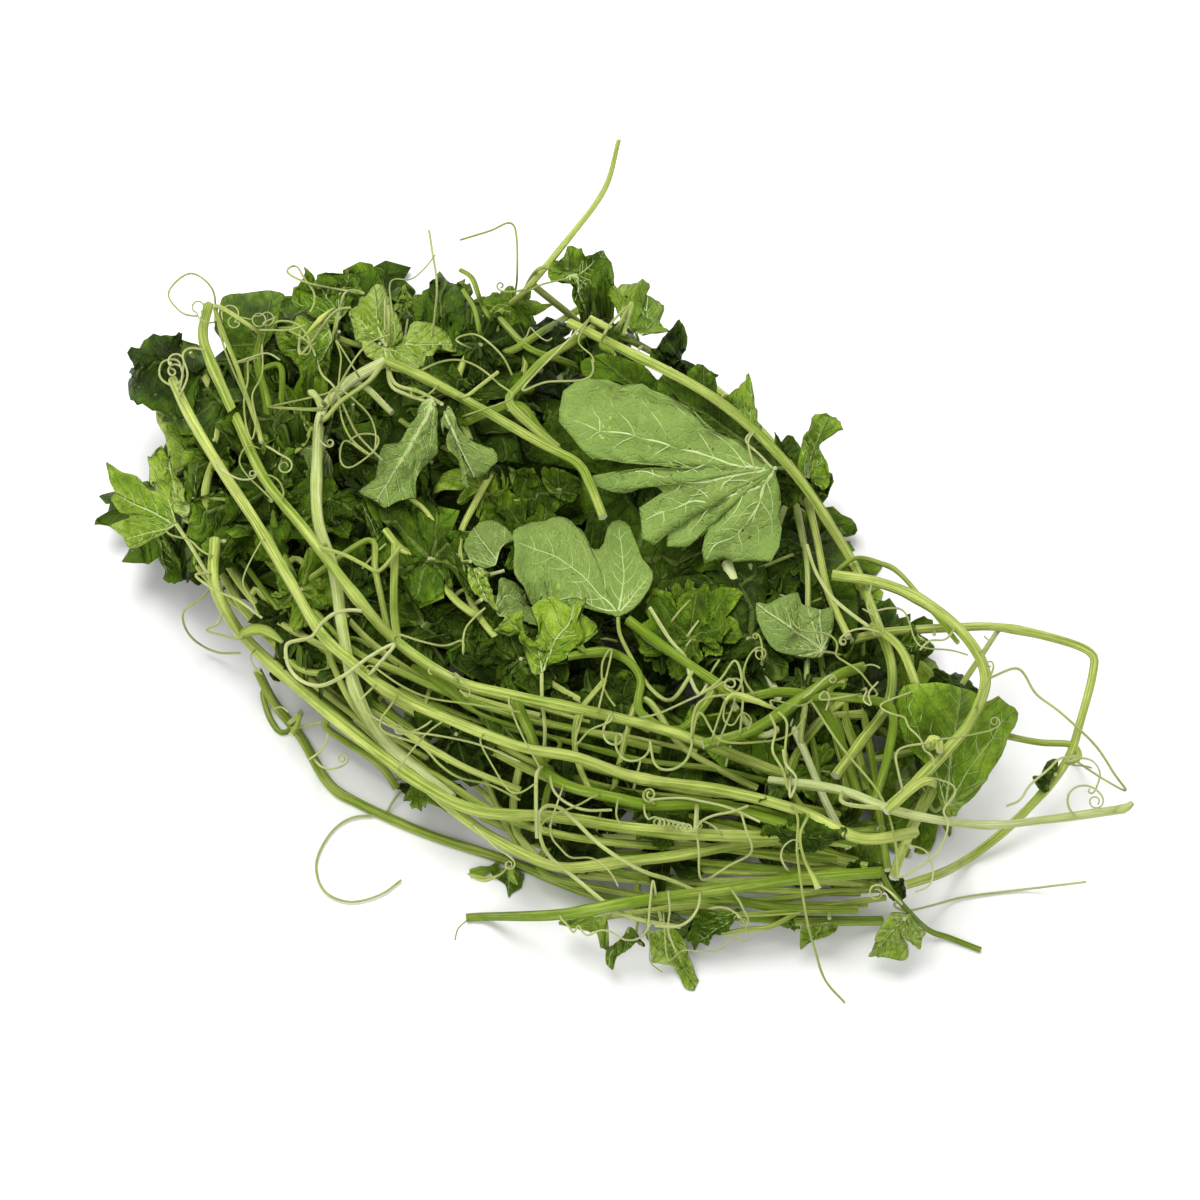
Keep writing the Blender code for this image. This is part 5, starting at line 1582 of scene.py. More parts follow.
def upper_vines():
    return [
        Vine(
            "middle_leaf_vine", "leaf",
            line(10, (628, 620), (667, 649), (715, 682), (740, 698), (780, 692), (815, 700), (840, 740),
                 (860, 800)),
            [
                line(9, (715, 690), (680, 730), (640, 712), (641, 681), (630, 663), (611, 653),
                     (590, 653), (565, 657)),
                line(4, (700, 695), (691, 680), (685, 657), (671, 641), (650, 608)),
            ],
            [blade(LEAF_B_BASE, (522, 545), outline=LEAF_B_OUTLINE, cup=0.1, wave=0.02,
                   petiole=((672, 700), (652, 690), (637, 668), (620, 635)), look="pale",
                   veins=LEAF_B_VEINS, trace=LEAF_B_TRACE, heart=0.0, smooth=True)],
        ),
        Vine(
            "right_arch_vine", "leaf",
            line(10, (570, 323), (620, 348), (680, 378), (722, 404), (762, 438), (800, 480), (830, 525),
                 (858, 573), (876, 620), (891, 663), (888, 703), (862, 740), (835, 776)),
            [],
            [blade(LEAF_A_BASE, (570, 420), outline=LEAF_A_OUTLINE, cup=0.06, curl=-0.05, wave=0.02,
                   petiole=((800, 480), (790, 470)), look="pale", veins=LEAF_A_VEINS, trace=LEAF_A_TRACE,
                   heart=0.0, smooth=True)],
        ),
        Vine(
            "pale_upright_vine", "pale",
            line(12, (385, 362), (362, 374), (345, 386), (322, 414), (317, 465), (318, 520), (334, 570),
                 (343, 630), (356, 690), (382, 737), (425, 776), (452, 798)),
            [line(7, (318, 470), (335, 400), (360, 385), (392, 413))],
            [],
        ),
        Vine(
            "centre_diagonal_vine", "stem",
            line(10, (386, 361), (425, 378), (480, 408), (540, 443), (577, 463), (590, 485), (604, 520)),
            [],
            [
                blade((436, 402), (380, 498), spread=0.5, cup=0.3,
                      petiole=((388, 363), (391, 386), (410, 396)), large=True, look="pale", fold=0.25,
                      trace=((432, 399), (438, 415), (436, 432), (436, 452), (429, 467), (419, 481),
                             (412, 498), (400, 505), (385, 508), (372, 500), (361, 493), (375, 486),
                             (376, 464), (388, 447), (402, 439), (412, 424), (422, 408))),
                blade((441, 402), (478, 488), spread=0.55, cup=0.3,
                      petiole=((388, 363), (395, 384), (420, 392)), look="pale", fold=0.25,
                      trace=((442, 400), (445, 412), (444, 424), (450, 430), (446, 442), (449, 453),
                             (459, 461), (463, 472), (462, 482), (471, 494), (468, 481), (480, 480),
                             (491, 472), (501, 462), (494, 449), (478, 446), (468, 436), (460, 424),
                             (455, 412), (449, 402))),
            ],
        ),
        Vine(
            "right_leaf_vine", "stem",
            line(9, (870, 626), (890, 638), (905, 656), (923, 705), (938, 745), (935, 785), (920, 815),
                 (903, 850), (893, 878)),
            [],
            [blade((945, 805), (960, 684), spread=0.62, cup=0.15, large=True,
                   petiole=((925, 800), (935, 812)), look="mid", heart=0.45, smooth=True,
                   trace=((897, 690), (905, 683), (925, 681), (945, 683), (965, 688), (976, 694),
                          (986, 700), (998, 695), (1006, 704), (1017, 712), (1014, 726), (1006, 740),
                          (1000, 756), (990, 770), (986, 782), (976, 792), (965, 803), (955, 816),
                          (944, 815), (938, 798), (934, 780), (922, 762), (905, 742), (897, 720)))],
        ),
        Vine(
            "right_loop_vine", "stem",
            line(11, (832, 575), (880, 583), (922, 601), (963, 634), (985, 675), (972, 718), (944, 753),
                 (912, 786), (888, 808)),
            [line(5, (834, 574), (855, 558), (880, 563), (900, 574), (936, 616), (958, 643))],
            [],
        ),
    ]


def front_vines():
    return [
        Vine(
            "low_front_vine", "stem",
            line(11, (430, 790), (470, 823), (500, 842), (530, 857), (565, 868), (620, 862), (680, 855),
                 (740, 844), (800, 838), (850, 842)),
            [], [],
        ),
        Vine(
            "front_left_vine", "stem",
            line(12, (215, 540), (214, 582), (232, 622), (262, 656), (312, 700), (370, 747), (430, 789),
                 (480, 811), (560, 817), (640, 829), (740, 836), (850, 836)),
            [],
            [blade((178, 525, 40), (106, 490, 34), spread=1.1, cup=0.2, large=True,
                   petiole=((217, 590), (205, 570), (190, 545, 38)), look="bright", heart=0.2,
                   smooth=True,
                   trace=((176, 521), (172, 508), (172, 498), (150, 491), (135, 477), (120, 472),
                          (105, 461), (110, 480), (116, 493), (109, 499), (120, 512), (126, 512),
                          (131, 518), (108, 527), (118, 535), (125, 540), (127, 547), (134, 549),
                          (149, 541), (161, 534), (171, 526)))],
        ),
        Vine(
            "centre_vine", "stem",
            line(11, (513, 695), (528, 728), (552, 778), (620, 799), (660, 806), (720, 806), (800, 828),
                 (860, 843)),
            [
                line((5, 4.5, 4.5, 4.5, 16, 6), (545, 762), (560, 742), (520, 728), (476, 712),
                     (446, 687), (425, 672), (410, 666)),
                line(6, (590, 790), (576, 755), (578, 716), (605, 680)),
            ],
            [blade((541, 676), (572, 588), spread=0.62, cup=0.3,
                   petiole=((543, 757), (545, 730), (542, 700)), look="green", heart=0.25,
                   trace=((543, 678), (552, 665), (562, 655), (566, 650), (579, 650), (590, 646),
                          (598, 630), (590, 610), (575, 598), (563, 600), (548, 596), (541, 603),
                          (538, 622), (530, 645), (520, 630), (512, 613), (497, 612), (495, 624),
                          (505, 628), (520, 644), (534, 664)))],
        ),
        Vine(
            "left_outer_vine", "stem",
            line(11, (173, 380), (190, 416), (221, 468), (258, 525), (291, 582), (320, 632), (352, 662),
                 (390, 692), (450, 720), (520, 747), (577, 758), (640, 779), (720, 790), (800, 811),
                 (860, 838), (915, 832)),
            [line(2.8, (176, 388), (160, 378), (162, 362), (178, 360), (182, 372, 52))],
            [],
        ),
        Vine(
            "left_second_vine", "stem",
            line(11, (209, 305, 58), (203, 335), (211, 363), (240, 427), (266, 481), (307, 532),
                 (356, 596), (398, 642), (456, 680), (515, 696), (600, 714), (680, 735), (760, 766),
                 (790, 777)),
            [line(8, (398, 640), (394, 610), (395, 545))],
            [],
        ),
        Vine(
            "crossing_vine", "stem",
            line(11, (862, 667), (842, 673), (806, 695), (770, 720), (740, 735), (700, 745)),
            [
                line(9, (806, 697), (850, 698), (891, 708), (889, 750), (874, 802)),
                line(3, (808, 696), (840, 745), (880, 795), (895, 840), (898, 880)),
                line(2.8, (740, 735), (740, 680), (700, 695), (660, 713), (640, 718)),
            ],
            [],
        ),
        Vine(
            "long_cut_end_vine", "pale",
            line((9, 9, 8, 10), (770, 780), (840, 790), (900, 812), (980, 825, 22), (1050, 819, 20),
                 (1128, 808, 18)),
            [],
            [],
        ),
        Vine(
            "bottom_stub_vine", "stem",
            line((8, 12, 12, 11), (466, 918), (482, 917), (560, 915), (640, 901), (720, 890), (800, 878),
                 (880, 872)),
            [line(4, (700, 893), (670, 880), (640, 870), (600, 845), (560, 808), (540, 812), (545, 850),
                  (580, 882), (625, 915), (680, 927))],
            [],
        ),
    ]


def all_vines():
    return hidden_vines() + table_vines() + right_vines() + leafy_vines() + upper_vines() + front_vines()


# Finer leaves and lines that the vines carry

EXTRA_LEAVES = {
    "left_edge_vine": (
        blade((178, 520, 38), (160, 405, 40), look="bright", rise=6, heart=0.5, petiole=((205, 560),),
              trace=((177, 521), (179, 500), (180, 470), (177, 440), (170, 425), (166, 408), (158, 402),
                     (160, 425), (167, 445), (163, 456), (156, 447), (146, 446), (143, 456), (147, 476),
                     (156, 492), (167, 508))),
        blade((184, 520, 36), (205, 440, 38), look="green", petiole=((205, 560),), smooth=True,
              trace=((181, 524), (181, 480), (184, 445), (194, 430), (203, 436), (211, 452), (204, 474),
                     (190, 505))),
        blade((160, 520), (165, 580, 20), look="green", trace=((160, 530), (170, 540), (182, 560), (180, 580),
                                                             (165, 583), (160, 560))),
        blade((208, 395), (240, 420), look="dark", smooth=True,
              trace=((200, 392), (225, 388), (245, 400), (240, 425), (225, 432), (208, 420))),
        blade((218, 500), (262, 545), look="dark",
              trace=((205, 500), (225, 488), (250, 500), (270, 530), (262, 552), (240, 545), (220, 525))),
    ),
    "top_left_vine": (
        blade((240, 340), (262, 306), look="soft", rise=3,
              trace=((228, 340), (232, 318), (250, 308), (268, 310),
                                                                   (272, 326), (256, 346))),
        blade((325, 345), (322, 318), look="green", trace=((302, 318), (312, 308), (322, 312), (330, 328),
                                                          (322, 345), (306, 342))),
        blade((408, 318), (402, 282, 74), look="bright",
              trace=((392, 300), (404, 284), (412, 300), (409, 320),
                                                                (398, 330))),
        blade((385, 300, 72), (388, 270, 78), look="green",
              trace=((372, 296), (388, 280), (392, 276), (389, 300),
                                                                   (380, 306))),
        blade((430, 345), (480, 350), look="dark", smooth=True,
              trace=((430, 350), (450, 340), (480, 338), (500, 350), (505, 372), (470, 376), (440, 366))),
        blade((400, 372), (432, 392), look="green", trace=((398, 374), (415, 368), (432, 380), (438, 394),
                                                           (420, 402), (402, 390))),
    ),
    "left_inner_vine": (
        blade((300, 425), (272, 378), look="green", fold=0.3,
              trace=((270, 376), (280, 385), (288, 398), (302, 410), (308, 430), (296, 425), (282, 408))),
        blade((385, 545), (360, 505), look="green", fold=0.3,
              trace=((356, 504), (366, 508), (378, 522), (386, 548), (376, 540), (362, 528))),
        blade((330, 500), (300, 545), look="dark"),
        blade((330, 450), (300, 470), look="soft", smooth=True,
              trace=((302, 450), (320, 445), (332, 462), (326, 480), (310, 472))),
        blade((345, 600), (300, 560), look="dark"),
        blade((290, 610), (330, 650), look="dark"),
    ),
    "dark_middle_vine": (
        blade((478, 650), (480, 615), look="dark", rise=3,
              trace=((465, 642), (470, 624), (480, 615), (494, 618), (490, 636), (479, 650), (468, 654))),
        blade((440, 560), (405, 530), look="green"),
        blade((425, 535), (400, 505), look="bright", trace=((402, 515), (415, 508), (430, 515), (438, 535),
                                                           (425, 545), (410, 538))),
        blade((520, 420), (560, 410), look="green", rise=3,
              trace=((520, 412), (535, 402), (552, 404), (565, 410), (560, 422), (540, 428), (524, 430))),
        blade((560, 490), (600, 500), look="deep",
              trace=((545, 470), (565, 466), (580, 480), (578, 497), (560, 497), (548, 488))),
        blade((590, 550), (594, 520), look="dark", smooth=True,
              trace=((586, 548), (584, 530), (592, 516), (606, 520), (604, 535), (596, 552))),
        blade((530, 540), (505, 500), look="dark"),
        blade((520, 500), (560, 530), look="dark"),
        blade((500, 640), (520, 600), look="green"),
        blade((560, 700), (556, 745), look="dark", smooth=True,
              trace=((552, 690), (566, 682), (574, 700), (572, 730), (560, 742), (550, 720))),
        blade((480, 700), (520, 745), look="green", smooth=True,
              trace=((474, 706), (490, 696), (514, 706), (528, 726), (524, 742), (500, 738), (482, 722))),
    ),
    "middle_leaf_vine": (
        blade((690, 640), (650, 600), look="green"), blade((700, 620), (740, 585), look="green"),
        blade((660, 640), (700, 625), look="dark"), blade((720, 660), (750, 640), look="dark"),
        blade((690, 600), (670, 585), look="green"), blade((590, 640), (560, 640), look="dark"),
        blade((752, 448, 66), (676, 392, 74), look="dark", smooth=True,
              trace=((756, 470), (736, 440), (712, 430), (682, 412), (656, 388), (668, 370), (700, 386),
                     (730, 408), (760, 436), (778, 462), (772, 480))),
        blade((700, 425, 62), (650, 380, 66), look="deep", smooth=True),
    ),
    "right_arch_vine": (
        blade((822, 650), (758, 606), look="pale", smooth=True,
              trace=((822, 656), (806, 658), (790, 657), (775, 650), (762, 635), (757, 620), (756, 603),
                     (768, 605), (779, 597), (796, 592), (801, 605), (820, 611), (831, 607), (834, 622),
                     (829, 640))),
    ),
    "pale_stub_vine": (
        blade((705, 600), (735, 580), look="soft", rise=4,
              trace=((698, 606), (702, 584), (716, 576), (738, 578), (742, 596), (724, 606), (706, 610))),
        blade((770, 580), (800, 560), look="dark"), blade((760, 600), (790, 575), look="green"),
        blade((735, 740), (725, 705), look="green"), blade((780, 720), (740, 700), look="dark"),
        blade((815, 600), (845, 640), look="dark", smooth=True,
              trace=((812, 560), (826, 552), (836, 570), (856, 590), (858, 630), (846, 660), (834, 620),
                     (820, 590))),
    ),
    "inner_right_vine": (
        blade((815, 770), (840, 800), look="green"), blade((800, 760), (780, 800), look="dark"),
        blade((830, 720), (860, 740), look="dark"), blade((845, 790), (870, 780), look="green"),
    ),
    "top_right_vine": (
        blade((600, 350), (640, 368), look="dark"), blade((625, 310), (600, 330), look="green"),
        blade((770, 470), (790, 440), look="dark", trace=((772, 446), (782, 437), (800, 444), (804, 462),
                                                          (790, 470), (778, 462))),
        blade((802, 480), (808, 510), look="soft", smooth=True,
              trace=((796, 484), (808, 488), (816, 508), (804, 508), (798, 500))),
        blade((785, 500), (790, 540), look="dark", trace=((778, 508), (790, 505), (790, 520), (782, 534),
                                                          (774, 528))),
    ),
    "right_leaf_vine": (
        blade((925, 800), (905, 715), look="dark", rise=4,
              trace=((903, 716), (912, 708), (920, 730), (918, 760), (905, 770), (898, 745))),
        blade((930, 790), (915, 765), look="soft", rise=4,
              trace=((902, 766), (915, 756), (925, 768), (918, 786), (900, 796), (896, 782))),
    ),
    "end_leaf_vine": (
        blade((893, 878), (905, 898), look="dark", rise=8,
              trace=((880, 866), (893, 872), (905, 884), (908, 897), (898, 901), (889, 893), (876, 872))),
        blade((885, 880), (840, 870), look="dark", rise=6,
              trace=((890, 872), (868, 866), (846, 860), (838, 872), (850, 880), (872, 882))),
    ),
    "bottom_leaf_vine": (
        blade((640, 912), (690, 925), look="soft", rise=3,
              trace=((632, 908), (650, 905), (675, 912), (700, 925), (690, 935), (660, 925), (640, 918))),
        blade((800, 912), (780, 930), look="green", trace=((772, 924), (790, 920), (800, 926), (790, 933))),
    ),
    "outer_front_vine": (
        blade((400, 792), (408, 782), look="dark", trace=((396, 783), (408, 780), (412, 788), (404, 793))),
    ),
    "low_shaded_vine": (
        blade((500, 775), (530, 760), look="dark"), blade((580, 850), (572, 832), look="green"),
        blade((600, 810), (560, 790), look="dark"), blade((660, 850), (700, 835), look="dark"),
    ),
    "middle_shaded_vine": (
        blade((560, 730), (600, 750), look="dark"), blade((620, 700), (660, 690), look="dark"),
        blade((700, 790), (740, 770), look="dark"), blade((640, 760), (600, 740), look="dark"),
        blade((780, 820), (820, 800), look="green"), blade((730, 745), (725, 715), look="green"),
    ),
    "left_second_vine": (
        blade((786, 800), (702, 722), look="deep",
              trace=((690, 712), (712, 706), (735, 716), (752, 735), (770, 752), (788, 770), (786, 796),
                     (765, 800), (748, 780), (722, 768), (700, 750))),
        blade((836, 843), (765, 830), look="dark",
              trace=((758, 838), (770, 826), (795, 820), (820, 824), (838, 834), (834, 848), (800, 852),
                     (775, 850))),
    ),
}

UNDER_LINES = {
    "left_inner_vine": (
        line(8, (283, 552), (300, 590), (325, 625), (360, 655), (400, 672), (440, 690), (480, 705),
             (540, 722), (600, 735), (660, 750)),
        line(7, (368, 540), (375, 570), (384, 612), (390, 640)),
        line(7, (330, 655), (350, 700), (378, 735), (410, 775), (440, 800)),
        line(5, (292, 600), (300, 614), (318, 628)),
        line(7, (300, 560), (340, 610), (380, 650), (430, 682), (480, 700), (540, 716)),
        line(5, (360, 640), (410, 672), (470, 690), (530, 705), (590, 722)),
    ),
    "left_edge_vine": (
        line(7, (280, 645), (295, 665), (315, 673), (330, 668), (328, 650)),
        line(6, (195, 560), (218, 590), (245, 612), (280, 640), (330, 690), (380, 730), (430, 760)),
        line(5, (230, 560), (248, 590), (262, 615)),
        line(8, (215, 560), (240, 605), (270, 640), (310, 680), (350, 712), (400, 750), (440, 780)),
        line(6, (240, 560), (280, 612), (320, 655), (370, 700), (420, 735)),
        line(7, (258, 590), (300, 640), (350, 690), (400, 728), (460, 765), (520, 790)),
        line(5, (275, 600), (310, 640), (350, 668), (400, 700), (450, 726)),
        line(6, (285, 620), (305, 655), (330, 690), (362, 725), (400, 760), (440, 795)),
    ),
    "middle_shaded_vine": (
        line(6, (420, 700), (480, 722), (560, 740), (640, 760), (720, 770), (800, 790)),
        line(5, (440, 680), (500, 712), (560, 728), (620, 735), (700, 752)),
        line(7, (470, 730), (540, 765), (620, 790), (700, 800), (780, 815), (850, 840)),
        line(6, (380, 700), (430, 745), (480, 790), (520, 830)),
        line(6, (450, 720), (480, 770), (500, 812), (520, 850)),
        line(8, (400, 690), (440, 712), (490, 735), (540, 752), (600, 770), (680, 790), (760, 800),
             (840, 815)),
        line(8, (350, 700), (400, 752), (450, 785), (500, 815), (560, 835), (640, 845), (740, 850),
             (840, 860)),
        line(7, (640, 700), (680, 745), (720, 770), (760, 790)),
    ),
    "low_shaded_vine": (
        line(8, (325, 725), (347, 742), (370, 757), (386, 771), (397, 788)),
        line(8, (520, 835), (600, 868), (680, 880), (760, 890), (860, 893)),
        line(9, (560, 868), (640, 880), (720, 882), (800, 880), (880, 884)),
        line(8, (600, 850), (680, 868), (760, 872), (820, 868), (880, 866)),
        line(7, (640, 896), (700, 903), (780, 899), (830, 892), (890, 889)),
        line(9, (480, 815), (560, 850), (620, 872), (700, 892), (780, 908), (860, 910)),
        line(7, (540, 838), (620, 838), (700, 846), (780, 858), (860, 872)),
        line(7, (540, 870), (600, 888), (680, 900), (780, 905), (870, 905)),
        line(8, (560, 775), (640, 812), (720, 822), (800, 845), (860, 862)),
    ),
    "inner_right_vine": (
        line(8, (845, 720), (860, 760), (866, 790)), line(8, (820, 720), (800, 750), (790, 772), (780, 800)),
        line(8, (935, 750), (930, 780), (920, 806), (905, 840)),
        line(9, (745, 680), (780, 690), (815, 690), (840, 672)),
        line(7, (790, 690), (812, 740), (820, 790)), line(7, (830, 690), (842, 740), (846, 800)),
        line(7, (822, 640), (826, 690), (836, 740), (850, 790)),
    ),
    "pale_stub_vine": (
        line(8, (760, 735), (720, 690), (690, 662), (660, 648), (628, 620)),
        line(6, (775, 475), (790, 490), (782, 515), (777, 532)), line(5, (786, 480), (797, 520), (806, 560)),
    ),
    "top_spike_vine": (
        line(8, (528, 348), (560, 360), (585, 370)), line(8, (590, 335), (575, 360), (560, 378)),
        line(8, (516, 405), (540, 430), (560, 452)),
    ),
}

